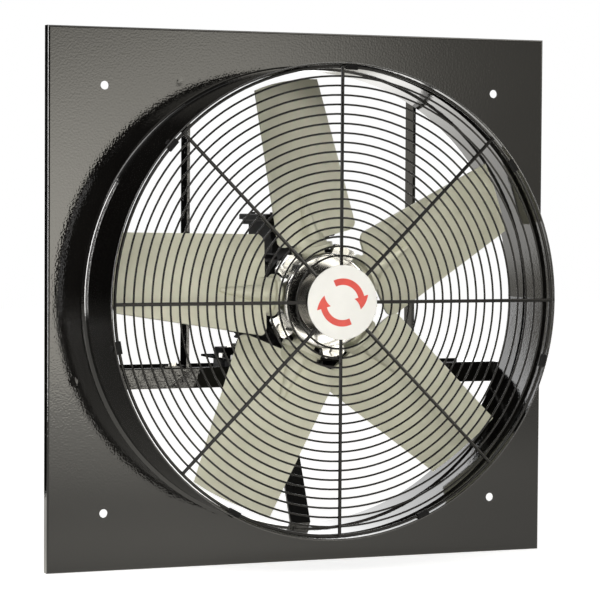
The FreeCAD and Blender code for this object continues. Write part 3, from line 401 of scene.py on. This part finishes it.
def side_corners(x, front, back, bottom, top):
    return [(x, front, bottom), (x, back, bottom), (x, back, top), (x, front, top)]


def gloss_card(name, corners):
    card = sheet_object(name, corners)
    card.visible_camera = False
    card.visible_diffuse = False
    card.visible_shadow = False
    paint = blank_material(name)
    card.data.materials.append(paint)
    return paint.node_tree


def bright_card(name, corners, pools, level=0.0):
    """A card that glows at the given level and brighter in its pools of light."""
    card = gloss_card(name, corners)
    glow = total(card, *bells(card, pools), level)
    shine = put(card, "ShaderNodeEmission", Color=ROOM_TINT, Strength=glow)
    put(card, "ShaderNodeOutputMaterial", Surface=shine.outputs[0])
    print(name, "peaks", [pool["peak"] for pool in pools])


bright_card("wall_card", upright_corners(WALL_Y, left=0.1, right=2.8, bottom=-1.2, top=1.3),
            WALL_POOLS, level=WALL_LEVEL)
bright_card("spoke_card", side_corners(SIDE_X, front=-2.6, back=-1.0, bottom=-0.35, top=1.7), [SIDE_POOL])
bright_card("ceiling_card", level_corners(CEILING_Z, left=0.0, right=2.2, front=-2.0, back=0.1),
            [CEILING_POOL])
bright_card("upright_card", upright_corners(REAR_Y, left=-0.25, right=-0.13, bottom=-0.2, top=0.4),
            [UPRIGHT_POOL])

# %% Black cards
SHELF_CARD_GAP = 0.01
VELVET_DARK = rgb(0.004, 0.004, 0.004)
VELVET_LIGHT = rgb(0.012, 0.012, 0.012)


def black_card(name, y, **edges):
    card = gloss_card(name, upright_corners(y, **edges))
    velvet = put(card, "ShaderNodeTexNoise", Vector=place_on_piece(card), Scale=200.0)
    pile = put(card, "ShaderNodeBsdfDiffuse",
               Color=mix(card, velvet.outputs["Fac"], VELVET_DARK, VELVET_LIGHT))
    put(card, "ShaderNodeOutputMaterial", Surface=pile.outputs[0])
    print(name, "at y", round(y, 3))


black_card("fold_card", REAR_Y, left=-1.1, right=-0.38, bottom=floor_level, top=0.5)
black_card("shelf_card", cad_box[1][1] + SHELF_CARD_GAP, left=-0.25, right=0.30, bottom=-0.098, top=-0.06)

# %% [markdown]
# ## Shared effects as node groups
# Several finishes on this fan share the same small effects. Each one is built once as a node group with
# named sockets, then placed in every material that needs it with its own values. Groups give out only
# masks, heights and colours; the shader itself stays in each material.

# %% Helpers for node groups
NUMBER = "NodeSocketFloat"
COLOUR = "NodeSocketColor"


def start_group(name, inputs, outputs):
    tree = bpy.data.node_groups.new(name, "ShaderNodeTree")
    for title, kind, value in inputs:
        socket = tree.interface.new_socket(title, in_out="INPUT", socket_type=kind)
        socket.default_value = value
    for title, kind in outputs:
        tree.interface.new_socket(title, in_out="OUTPUT", socket_type=kind)
    return tree, tree.nodes.new("NodeGroupInput").outputs, tree.nodes.new("NodeGroupOutput").inputs


def place_group(tree, group, **inputs):
    return put(tree, "ShaderNodeGroup", {"node_tree": group}, **inputs).outputs


print("group helpers ready")

# %% [markdown]
# ### Orange peel
# Baked powder coat is glossy but never flat: it dries with shallow ripples a few millimetres across,
# which fray the edges of reflections. Two noise layers, one fine and one three times as wide, give the
# height for a Bump node.

# %% Group: orange peel
WIDE_LAYER = 3.0
orange_peel, given, result = start_group(
    "orange_peel", [("Scale", NUMBER, 300.0), ("Swell", NUMBER, 0.5)], [("Height", NUMBER)])
fine = put(orange_peel, "ShaderNodeTexNoise", Vector=place_on_piece(orange_peel), Scale=given["Scale"],
           Detail=1.0, Roughness=0.45)
wide = put(orange_peel, "ShaderNodeTexNoise", Vector=place_on_piece(orange_peel), Detail=0.0,
           Scale=figure(orange_peel, "DIVIDE", given["Scale"], WIDE_LAYER))
swell = figure(orange_peel, "MULTIPLY", wide.outputs["Fac"], given["Swell"])
feed(orange_peel, result["Height"], total(orange_peel, fine.outputs["Fac"], swell))
print(orange_peel.name, "ready")

# %% [markdown]
# ### Worn edges
# Handling rubs paint and castings along their corners. The Bevel node gives the normal as if each edge
# were rounded; where that differs from the true normal, an edge is near. Noise breaks the line up.

# %% Group: worn edges
worn_edges, given, result = start_group(
    "worn_edges", [("Radius", NUMBER, 0.0008), ("Breakup", NUMBER, 120.0)], [("Mask", NUMBER)])
rounded = put(worn_edges, "ShaderNodeBevel", {"samples": 4}, Radius=given["Radius"])
true = put(worn_edges, "ShaderNodeNewGeometry")
likeness = vector_figure(worn_edges, "DOT_PRODUCT", rounded.outputs["Normal"], true.outputs["Normal"])
edge = remap(worn_edges, likeness["Value"], low=0.99, high=0.85)
patches = put(worn_edges, "ShaderNodeTexNoise", Vector=place_on_piece(worn_edges), Scale=given["Breakup"],
              Detail=3.0)
worn = remap(worn_edges, patches.outputs["Fac"], low=0.42, high=0.62)
feed(worn_edges, result["Mask"], figure(worn_edges, "MULTIPLY", edge, worn))
print(worn_edges.name, "ready")

# %% [markdown]
# ### Settled dust
# Dust gathers on faces that look up. The piece's own normal is used, not the world's, so that the dust
# turns with the impeller. Noise makes the layer uneven.

# %% Group: settled dust
settled_dust, given, result = start_group(
    "settled_dust", [("Amount", NUMBER, 0.2), ("Scale", NUMBER, 40.0)], [("Mask", NUMBER)])
facing = put(settled_dust, "ShaderNodeTexCoord")
height = put(settled_dust, "ShaderNodeSeparateXYZ", Vector=facing.outputs["Normal"])
upward = remap(settled_dust, height.outputs["Z"], low=0.35, high=1.0)
clumps = put(settled_dust, "ShaderNodeTexNoise", Vector=facing.outputs["Object"], Scale=given["Scale"],
             Detail=5.0, Roughness=0.65)
layer = remap(settled_dust, clumps.outputs["Fac"], low=0.3, high=0.7)
cover = figure(settled_dust, "MULTIPLY", upward, layer)
feed(settled_dust, result["Mask"], figure(settled_dust, "MULTIPLY", cover, given["Amount"]))
print(settled_dust.name, "ready")

# %% [markdown]
# ### Mottle
# No finish has quite one colour. Mottle wanders between two given colours in soft patches with a finer
# grain on top, and also gives the plain value, which can drive roughness.

# %% Group: mottle
GRAIN_FINENESS = 14.0
MIDDLE_OF_NOISE = 0.5
mottle, given, result = start_group(
    "mottle", [("Dark", COLOUR, rgb(0.4, 0.4, 0.4)), ("Light", COLOUR, rgb(0.5, 0.5, 0.5)),
               ("Scale", NUMBER, 30.0), ("Grain", NUMBER, 0.3)], [("Colour", COLOUR), ("Value", NUMBER)])
cloud = put(mottle, "ShaderNodeTexNoise", Vector=place_on_piece(mottle), Scale=given["Scale"], Detail=4.0,
            Roughness=0.55)
specks = put(mottle, "ShaderNodeTexNoise", Vector=place_on_piece(mottle), Detail=2.0,
             Scale=figure(mottle, "MULTIPLY", given["Scale"], GRAIN_FINENESS))
around_zero = figure(mottle, "SUBTRACT", specks.outputs["Fac"], MIDDLE_OF_NOISE)
grain = figure(mottle, "MULTIPLY", around_zero, given["Grain"])
value = total(mottle, remap(mottle, cloud.outputs["Fac"], low=0.3, high=0.7), grain)
feed(mottle, result["Colour"], mix(mottle, value, given["Dark"], given["Light"]))
feed(mottle, result["Value"], value)
print(mottle.name, "ready")

# %% [markdown]
# ### Cast skin
# Castings and rubber carry the pebbly skin of their mould. Voronoi cells give the pebbles and noise
# spreads them unevenly.

# %% Group: cast skin
UNEVEN_PATCHES = 4.0
cast_skin, given, result = start_group("cast_skin", [("Scale", NUMBER, 500.0)], [("Height", NUMBER)])
pebbles = put(cast_skin, "ShaderNodeTexVoronoi", {"feature": "SMOOTH_F1"}, Vector=place_on_piece(cast_skin),
              Scale=given["Scale"])
uneven = put(cast_skin, "ShaderNodeTexNoise", Vector=place_on_piece(cast_skin), Detail=3.0,
             Scale=figure(cast_skin, "DIVIDE", given["Scale"], UNEVEN_PATCHES))
skin = figure(cast_skin, "MULTIPLY", pebbles.outputs["Distance"], uneven.outputs["Fac"])
feed(cast_skin, result["Height"], skin)
print(cast_skin.name, "ready")

# %% [markdown]
# ### Turning marks
# Shafts, bushes, bearing rings and the faced parts of the hub were cut on a lathe, so fine rings run
# round the fan axis. The distance from that axis and the place along it feed a one-dimensional noise,
# which serves as a height and as a value for roughness.

# %% Group: turning marks
def axis_distance(tree, spot):
    squares = [figure(tree, "MULTIPLY", spot.outputs[axis], spot.outputs[axis]) for axis in ("X", "Z")]
    return figure(tree, "SQRT", total(tree, *squares))


turning_marks, given, result = start_group(
    "turning_marks", [("Scale", NUMBER, 1500.0)], [("Height", NUMBER)])
spot = put(turning_marks, "ShaderNodeSeparateXYZ", Vector=place_on_piece(turning_marks))
travel = total(turning_marks, axis_distance(turning_marks, spot), spot.outputs["Y"])
feed_line = figure(turning_marks, "MULTIPLY", travel, given["Scale"])
lines = put(turning_marks, "ShaderNodeTexNoise", {"noise_dimensions": "1D"}, W=feed_line,
            Scale=1.0, Detail=2.0)
feed(turning_marks, result["Height"], lines.outputs["Fac"])
print(turning_marks.name, "ready")

# %% [markdown]
# ## Finishes
# Each material ends in one Principled BSDF. A helper makes the empty tree and returns the shader's
# sockets, so that the cells below read as a list of what feeds them. Values that are the same all over
# the surface are set on the shader itself. Three more helpers lay dust over a colour, rub it off along
# the edges, and spread the roughness between two ends.

# %% Helpers for finishes
finishes = {}


def start_finish(name, **constants):
    material = blank_material(name)
    tree = material.node_tree
    shader = put(tree, "ShaderNodeBsdfPrincipled", **constants)
    put(tree, "ShaderNodeOutputMaterial", Surface=shader.outputs[0])
    finishes[name] = material
    print("finish", name, constants)
    return tree, shader.inputs


def dusted(tree, colour, dust_colour, **layer):
    dust = place_group(tree, settled_dust, **layer)
    return mix(tree, dust["Mask"], colour, dust_colour)


def rubbed(tree, colour, edge_colour, share=1.0, **wear):
    edges = place_group(tree, worn_edges, **wear)
    return mix(tree, figure(tree, "MULTIPLY", edges["Mask"], share), colour, edge_colour)


def spread_roughness(tree, sockets, value, start, end, low=0.0, high=1.0):
    feed(tree, sockets["Roughness"], remap(tree, value, low, high, start, end))


def raise_surface(tree, sockets, height, depth, edge_radius=0.0):
    bump = put(tree, "ShaderNodeBump", Strength=1.0, Distance=depth, Height=height)
    if edge_radius:
        soft_edge = put(tree, "ShaderNodeBevel", {"samples": 6}, Radius=edge_radius)
        feed(tree, bump.inputs["Normal"], soft_edge.outputs["Normal"])
    feed(tree, sockets["Normal"], bump.outputs["Normal"])


print("finish helpers ready")

# %% [markdown]
# ### Where the studs are
# Five studs are welded to the back of the plate, and each leaves a shallow dent in the painted front. A
# node that groups several solids keeps them as loose islands of one mesh. Joining the ends of every edge
# sorts the points into islands, and the middle of each island is where its stud stands.

# %% Islands of a node
SAME_PLACE_DIGITS = 6


def islands(thing):
    """The separate solids of a node, each as a list of points."""
    points = [vertex.co.copy() for vertex in thing.data.vertices]
    parent = {}

    def root(key):
        while parent[key] != key:
            parent[key] = parent[parent[key]]
            key = parent[key]
        return key

    keys = [tuple(round(value, SAME_PLACE_DIGITS) for value in point) for point in points]
    for key in keys:
        parent[key] = key
    for edge in thing.data.edges:
        parent[root(keys[edge.vertices[0]])] = root(keys[edge.vertices[1]])
    groups = {}
    for key, point in zip(keys, points):
        groups.setdefault(root(key), []).append(point)
    return list(groups.values())


def middle_of(points):
    return sum(points, Vector()) / len(points)


stud_places = [middle_of(stud) for stud in islands(nodes["frame_studs"])]
print("studs at", [(round(place.x, 3), round(place.z, 3)) for place in stud_places])

# %% [markdown]
# ### Gloss black powder coat
# The plate, drum, shelf, base plate and bars are coated in gloss black. The coat itself is nearly without
# colour; what the picture shows on it is reflection. So the work goes into the gloss: a low roughness
# that varies in faint patches, orange peel, soft edges, a little dust, slightly thin paint on the
# corners and a shallow dent in front of each stud.

# %% Finish: gloss_black
PEEL_DEPTH = 0.000085
DENT_DEPTH = 0.00025
DENT_WIDTH = 0.004
EDGE_RADIUS = 0.0004

tree, sockets = start_finish("gloss_black", IOR=1.5)
film = place_group(tree, mottle, Dark=rgb(0.0030, 0.0027, 0.0024), Light=rgb(0.0052, 0.0047, 0.0042),
                   Scale=9.0, Grain=0.5)
colour = dusted(tree, film["Colour"], rgb(0.30, 0.28, 0.25), Amount=0.05, Scale=60.0)
colour = rubbed(tree, colour, rgb(0.09, 0.085, 0.08), share=0.25, Radius=0.0007, Breakup=90.0)
feed(tree, sockets["Base Color"], colour)
spread_roughness(tree, sockets, film["Value"], start=0.02, end=0.045)
peel = place_group(tree, orange_peel, Scale=380.0, Swell=0.2)
dents = [{"centre": (stud.x, 0.0, stud.z), "spread": (DENT_WIDTH,) * 3, "peak": -DENT_DEPTH / PEEL_DEPTH}
         for stud in stud_places]
relief = total(tree, peel["Height"], *bells(tree, dents))
raise_surface(tree, sockets, relief, depth=PEEL_DEPTH, edge_radius=EDGE_RADIUS)

# %% [markdown]
# ### Coated guard wire
# The guard was dipped or sprayed after welding. Its coat is a little softer than the plate's and runs
# along the wires, so the gloss is broader and the highlights on the rings are soft.

# %% Finish: guard_black
tree, sockets = start_finish("guard_black", IOR=1.45, Specular_IOR_Level=0.25)
film = place_group(tree, mottle, Dark=rgb(0.004, 0.0036, 0.0032), Light=rgb(0.008, 0.0072, 0.0064),
                   Scale=40.0, Grain=0.4)
feed(tree, sockets["Base Color"], film["Colour"])
spread_roughness(tree, sockets, film["Value"], start=0.07, end=0.12)
peel = place_group(tree, orange_peel, Scale=500.0, Swell=0.4)
raise_surface(tree, sockets, peel["Height"], depth=0.00004)

# %% [markdown]
# ### Badge
# The guard's centre carries a round off-white badge. It gets a plain sign that any fan may carry: two
# curved arrows for the turning direction. They could be cut as thin meshes, but print has no thickness,
# so the arrows are worked out in the material from the distance and the angle about the fan axis.

# %% Finish: badge_white
ARROW_START = 0.35
ARROW_RADIUS = 0.0265
ARROW_HALF_WIDTH = 0.0042
ARROW_HEAD_HALF_WIDTH = 0.0098
ARROW_SPAN = 2.35
ARROW_HEAD_SPAN = 0.62
PRINT_SOFTNESS = 0.0002

tree, sockets = start_finish("badge_white", IOR=1.48, Coat_Weight=0.25, Coat_Roughness=0.12)
spot = put(tree, "ShaderNodeSeparateXYZ", Vector=place_on_piece(tree))
turn = figure(tree, "ARCTAN2", spot.outputs["Z"], spot.outputs["X"])
along = figure(tree, "FLOORED_MODULO", total(tree, turn, ARROW_START), math.pi)
off_line = figure(tree, "ABSOLUTE", figure(tree, "SUBTRACT", axis_distance(tree, spot), ARROW_RADIUS))
head = remap(tree, along, low=0.0, high=ARROW_HEAD_SPAN, out_high=ARROW_HEAD_HALF_WIDTH)
is_tail = figure(tree, "GREATER_THAN", along, ARROW_HEAD_SPAN)
tail = figure(tree, "MULTIPLY", is_tail, ARROW_HALF_WIDTH)
head_only = figure(tree, "MULTIPLY", figure(tree, "SUBTRACT", 1.0, is_tail), head)
half_width = total(tree, tail, head_only)
inside = remap(tree, figure(tree, "SUBTRACT", half_width, off_line), -PRINT_SOFTNESS, PRINT_SOFTNESS)
printed = figure(tree, "MULTIPLY", inside, figure(tree, "LESS_THAN", along, ARROW_SPAN))
paper = place_group(tree, mottle, Dark=rgb(0.78, 0.775, 0.745), Light=rgb(0.83, 0.825, 0.795),
                    Scale=25.0, Grain=0.4)
ink = place_group(tree, mottle, Dark=rgb(0.56, 0.030, 0.018), Light=rgb(0.66, 0.042, 0.024),
                  Scale=120.0, Grain=0.6)
feed(tree, sockets["Base Color"], mix(tree, printed, paper["Colour"], ink["Colour"]))
spread_roughness(tree, sockets, paper["Value"], start=0.30, end=0.42)

# %% [markdown]
# ### Zinc-plated fasteners
# Bolts, nuts, studs, the screw in the shaft's end and its washer are bright zinc: metallic, a slightly
# warm grey, blotchy in roughness, with the corners of the hexagons rubbed brighter.

# %% Finish: zinc_steel
tree, sockets = start_finish("zinc_steel", Metallic=1.0)
plating = place_group(tree, mottle, Dark=rgb(0.50, 0.49, 0.46), Light=rgb(0.68, 0.67, 0.64),
                      Scale=160.0, Grain=0.6)
colour = rubbed(tree, plating["Colour"], rgb(0.80, 0.79, 0.77), Radius=0.0005, Breakup=300.0)
feed(tree, sockets["Base Color"], colour)
spread_roughness(tree, sockets, plating["Value"], start=0.36, end=0.22)
skin = place_group(tree, cast_skin, Scale=1200.0)
raise_surface(tree, sockets, skin["Height"], depth=0.00004)

# %% [markdown]
# ### Rubber
# The vibration pads, the box gasket and the shaft seal are black rubber: matt, pebbled by the mould, and
# greyed by dust on top.

# %% Finish: rubber
tree, sockets = start_finish("rubber", IOR=1.45)
body = place_group(tree, mottle, Dark=rgb(0.010, 0.010, 0.010), Light=rgb(0.022, 0.021, 0.020),
                   Scale=90.0, Grain=0.5)
colour = dusted(tree, body["Colour"], rgb(0.22, 0.21, 0.19), Amount=0.25, Scale=120.0)
feed(tree, sockets["Base Color"], colour)
spread_roughness(tree, sockets, body["Value"], start=0.62, end=0.8)
skin = place_group(tree, cast_skin, Scale=700.0)
raise_surface(tree, sockets, skin["Height"], depth=0.0002)

# %% [markdown]
# ### Motor paint
# The finned housing, its shields and the terminal box are castings under satin black paint. The casting's
# skin shows through, dust lies on the fins, and the edges are greyer where they were knocked. The screws
# of the box were painted with it, and the clips of the guard look the same.

# %% Finish: motor_paint
tree, sockets = start_finish("motor_paint", IOR=1.33, Specular_IOR_Level=0.12)
film = place_group(tree, mottle, Dark=rgb(0.006, 0.006, 0.0062), Light=rgb(0.012, 0.012, 0.0122),
                   Scale=30.0, Grain=0.5)
colour = dusted(tree, film["Colour"], rgb(0.28, 0.26, 0.23), Amount=0.08, Scale=90.0)
colour = rubbed(tree, colour, rgb(0.16, 0.16, 0.165), share=0.4, Radius=0.0009, Breakup=140.0)
feed(tree, sockets["Base Color"], colour)
spread_roughness(tree, sockets, film["Value"], start=0.55, end=0.72)
skin = place_group(tree, cast_skin, Scale=420.0)
raise_surface(tree, sockets, skin["Height"], depth=0.00022)

# %% [markdown]
# ### Laminated core
# Stator and rotor are stacks of thin steel sheets. Fine bands across the fan axis draw the sheets.

# %% Finish: core_steel
SHEETS_PER_METRE = 2000.0

tree, sockets = start_finish("core_steel", Metallic=0.9)
spot = put(tree, "ShaderNodeSeparateXYZ", Vector=place_on_piece(tree))
phase = figure(tree, "MULTIPLY", spot.outputs["Y"], SHEETS_PER_METRE * 2 * math.pi)
bands = figure(tree, "SINE", phase)
metal = place_group(tree, mottle, Dark=rgb(0.17, 0.17, 0.175), Light=rgb(0.27, 0.27, 0.275),
                    Scale=60.0, Grain=0.5)
seam = remap(tree, bands, low=0.6, high=1.0)
feed(tree, sockets["Base Color"], mix(tree, seam, metal["Colour"], rgb(0.06, 0.055, 0.05)))
spread_roughness(tree, sockets, metal["Value"], start=0.4, end=0.55)
raise_surface(tree, sockets, bands, depth=0.00006)

# %% [markdown]
# ### Varnished copper winding
# The coil heads are bundles of varnished wire. A wave runs round the axis like the lay of the wires, and
# brown varnish darkens the copper between them.

# %% Finish: copper
LAY_SCALE = 900.0
WAVE_SCALE = 112.5

tree, sockets = start_finish("copper", Metallic=0.85, Coat_Weight=0.6, Coat_Roughness=0.2)
lay = place_group(tree, turning_marks, Scale=LAY_SCALE)
wires = put(tree, "ShaderNodeTexWave", {"wave_type": "RINGS", "rings_direction": "Y"},
            Vector=place_on_piece(tree), Scale=WAVE_SCALE, Distortion=3.0, Detail=2.0)
varnish = mix(tree, wires.outputs["Fac"], rgb(0.16, 0.045, 0.015), rgb(0.56, 0.20, 0.07))
feed(tree, sockets["Base Color"], varnish)
spread_roughness(tree, sockets, lay["Height"], start=0.28, end=0.45)
raise_surface(tree, sockets, wires.outputs["Fac"], depth=0.0003)

# %% [markdown]
# ### Ground and turned steel
# Shaft, bush, key and bearings are machined steel, marked by fine rings from the lathe.

# %% Finish: bearing_steel
tree, sockets = start_finish("bearing_steel", Metallic=1.0)
marks = place_group(tree, turning_marks, Scale=2600.0)
oil = place_group(tree, mottle, Dark=rgb(0.46, 0.45, 0.43), Light=rgb(0.60, 0.595, 0.58),
                  Scale=50.0, Grain=0.3)
feed(tree, sockets["Base Color"], oil["Colour"])
spread_roughness(tree, sockets, marks["Height"], start=0.18, end=0.34, low=0.2, high=0.8)
raise_surface(tree, sockets, marks["Height"], depth=0.00003)

# %% [markdown]
# ### Black moulded plastic
# The cable gland and the terminal block are glass-filled plastic: dull black with a fine spark grain.

# %% Finish: black_plastic
tree, sockets = start_finish("black_plastic", IOR=1.47)
body = place_group(tree, mottle, Dark=rgb(0.009, 0.009, 0.0095), Light=rgb(0.018, 0.018, 0.0185),
                   Scale=70.0, Grain=0.5)
colour = dusted(tree, body["Colour"], rgb(0.25, 0.24, 0.22), Amount=0.2, Scale=150.0)
feed(tree, sockets["Base Color"], colour)
spread_roughness(tree, sockets, body["Value"], start=0.42, end=0.56)
skin = place_group(tree, cast_skin, Scale=1500.0)
raise_surface(tree, sockets, skin["Height"], depth=0.00008)

# %% [markdown]
# ### Die-cast hub
# The two hub halves are bright aluminium castings whose rims and tabs were faced on a lathe. The skin is
# smooth but uneven, and the edges are rubbed bright.

# %% Finish: hub_aluminium
LATHE_SHARE = 0.3

tree, sockets = start_finish("hub_aluminium", Metallic=1.0)
cast = place_group(tree, mottle, Dark=rgb(0.50, 0.495, 0.48), Light=rgb(0.58, 0.575, 0.56),
                   Scale=30.0, Grain=0.12)
colour = rubbed(tree, cast["Colour"], rgb(0.86, 0.855, 0.85), Radius=0.0009, Breakup=180.0)
feed(tree, sockets["Base Color"], colour)
spread_roughness(tree, sockets, cast["Value"], start=0.19, end=0.13)
marks = place_group(tree, turning_marks, Scale=1400.0)
skin = place_group(tree, cast_skin, Scale=600.0)
relief = total(tree, figure(tree, "MULTIPLY", marks["Height"], LATHE_SHARE), skin["Height"])
raise_surface(tree, sockets, relief, depth=0.000010, edge_radius=0.0005)

# %% [markdown]
# ### Khaki blades
# The blades are moulded from glass-filled plastic in a greenish khaki. Where the fibres come near the
# skin the colour turns cloudy, the surface is satin, and the thin edges are a little paler.

# %% Finish: blade_khaki
tree, sockets = start_finish("blade_khaki", IOR=1.55)
body = place_group(tree, mottle, Dark=rgb(0.630, 0.620, 0.482), Light=rgb(0.720, 0.712, 0.565),
                   Scale=22.0, Grain=0.55)
colour = rubbed(tree, body["Colour"], rgb(0.74, 0.735, 0.61), share=0.4, Radius=0.0012, Breakup=70.0)
colour = dusted(tree, colour, rgb(0.36, 0.33, 0.27), Amount=0.10, Scale=55.0)
feed(tree, sockets["Base Color"], colour)
spread_roughness(tree, sockets, body["Value"], start=0.36, end=0.46)
skin = place_group(tree, cast_skin, Scale=380.0)
raise_surface(tree, sockets, skin["Height"], depth=0.00012)

# %% [markdown]
# ## Finishes on the nodes
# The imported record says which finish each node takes. One loop assigns them all, so a node that is added
# to the model later is dressed without any change here. The guard's clips and their rivets are duller
# than its wires, so they take the satin paint of the motor in place of the guard's gloss.

# %% Assign the finishes
SATIN_NODES = ("guard_clips", "clip_rivets")
for entry in frame["record"]["subparts"]:
    node = nodes[entry["node"]]
    satin = entry["node"] in SATIN_NODES
    material = finishes["motor_paint" if satin else entry["material_slot"]]
    if not node.material_slots:
        node.data.materials.append(material)
    for slot in node.material_slots:
        slot.material = material

# %% [markdown]
# ## Weld spots on the guard
# Each ring is resistance-welded to each spoke, which leaves a small flattened lump in the corner where
# the wires cross. The solid model only lets the wires sink a little into each other. The crossings are
# found from the meshes of the rings and spokes, so the lumps follow the guard whatever its size.

# %% Find the wires of the guard
def extent(wire):
    """The least and the greatest distance of a wire from the fan axis, then its front and its back."""
    reaches = [math.hypot(point.x, point.z) for point in wire]
    depths = [point.y for point in wire]
    return min(reaches), max(reaches), min(depths), max(depths)


rings = sorted(extent(wire) for wire in islands(nodes["guard_rings"]))
spokes = []
for wire in islands(nodes["guard_spokes"]):
    centre = middle_of(wire)
    spokes.append((math.atan2(centre.z, centre.x), *extent(wire)))
print(len(rings), "rings", len(spokes), "spokes; first ring", [round(v, 4) for v in rings[0]],
      "first spoke", [round(v, 4) for v in spokes[0]])

# %% [markdown]
# A lump is a small icosphere, pressed flat and pushed out of round by noise. Every lump takes its own
# place in that noise from a seeded generator, so no two are alike and each run makes the same ones.

# %% Weld lumps at the crossings
WELD_SPREAD = 0.85
WELD_HEIGHT = 0.55
WELD_ROUGHNESS = 0.18
WELD_NOISE_SCALE = 1.7
WELD_NOISE_RANGE = 9
WELD_SEED = 7
FAN_AXIS = Vector((0, 1, 0))
weld_chance = random.Random(WELD_SEED)


def weld_lump(mesh, place, along, size):
    """A flattened, slightly lumpy bead whose long side lies along the ring."""
    made = bmesh.ops.create_icosphere(mesh, subdivisions=2, radius=1.0)
    across = FAN_AXIS.cross(along)
    swirl = Vector([weld_chance.uniform(0, WELD_NOISE_RANGE) for _ in range(3)])
    for vertex in made["verts"]:
        lump = 1 + WELD_ROUGHNESS * noise.noise(vertex.co * WELD_NOISE_SCALE + swirl)
        local = vertex.co * lump
        vertex.co = (place + along * local.x * size.x + across * local.y * size.y
                     + FAN_AXIS * local.z * size.z)


lumps = bmesh.new()
weld_count = 0
for ring_in, ring_out, ring_front, ring_back in rings:
    for angle, spoke_in, spoke_out, spoke_front, spoke_back in spokes:
        middle = (ring_in + ring_out) / 2
        if not spoke_in < middle < spoke_out:
            continue
        wire = (ring_out - ring_in) / 2
        rod = (spoke_back - spoke_front) / 2
        contact = (max(ring_front, spoke_front) + min(ring_back, spoke_back)) / 2
        outward = Vector((math.cos(angle), 0, math.sin(angle)))
        along = Vector((-math.sin(angle), 0, math.cos(angle)))
        size = Vector((rod * WELD_SPREAD, wire * WELD_SPREAD, (wire + rod) / 2 * WELD_HEIGHT))
        weld_lump(lumps, outward * middle + FAN_AXIS * contact, along, size)
        weld_count += 1
for face in lumps.faces:
    face.smooth = True
weld_mesh = bpy.data.meshes.new("guard_welds")
lumps.to_mesh(weld_mesh)
lumps.free()
weld_mesh.materials.append(finishes["guard_black"])
welds = bpy.data.objects.new("guard_welds", weld_mesh)
scene.collection.objects.link(welds)
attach(welds, "frame")
print("weld spots:", weld_count)
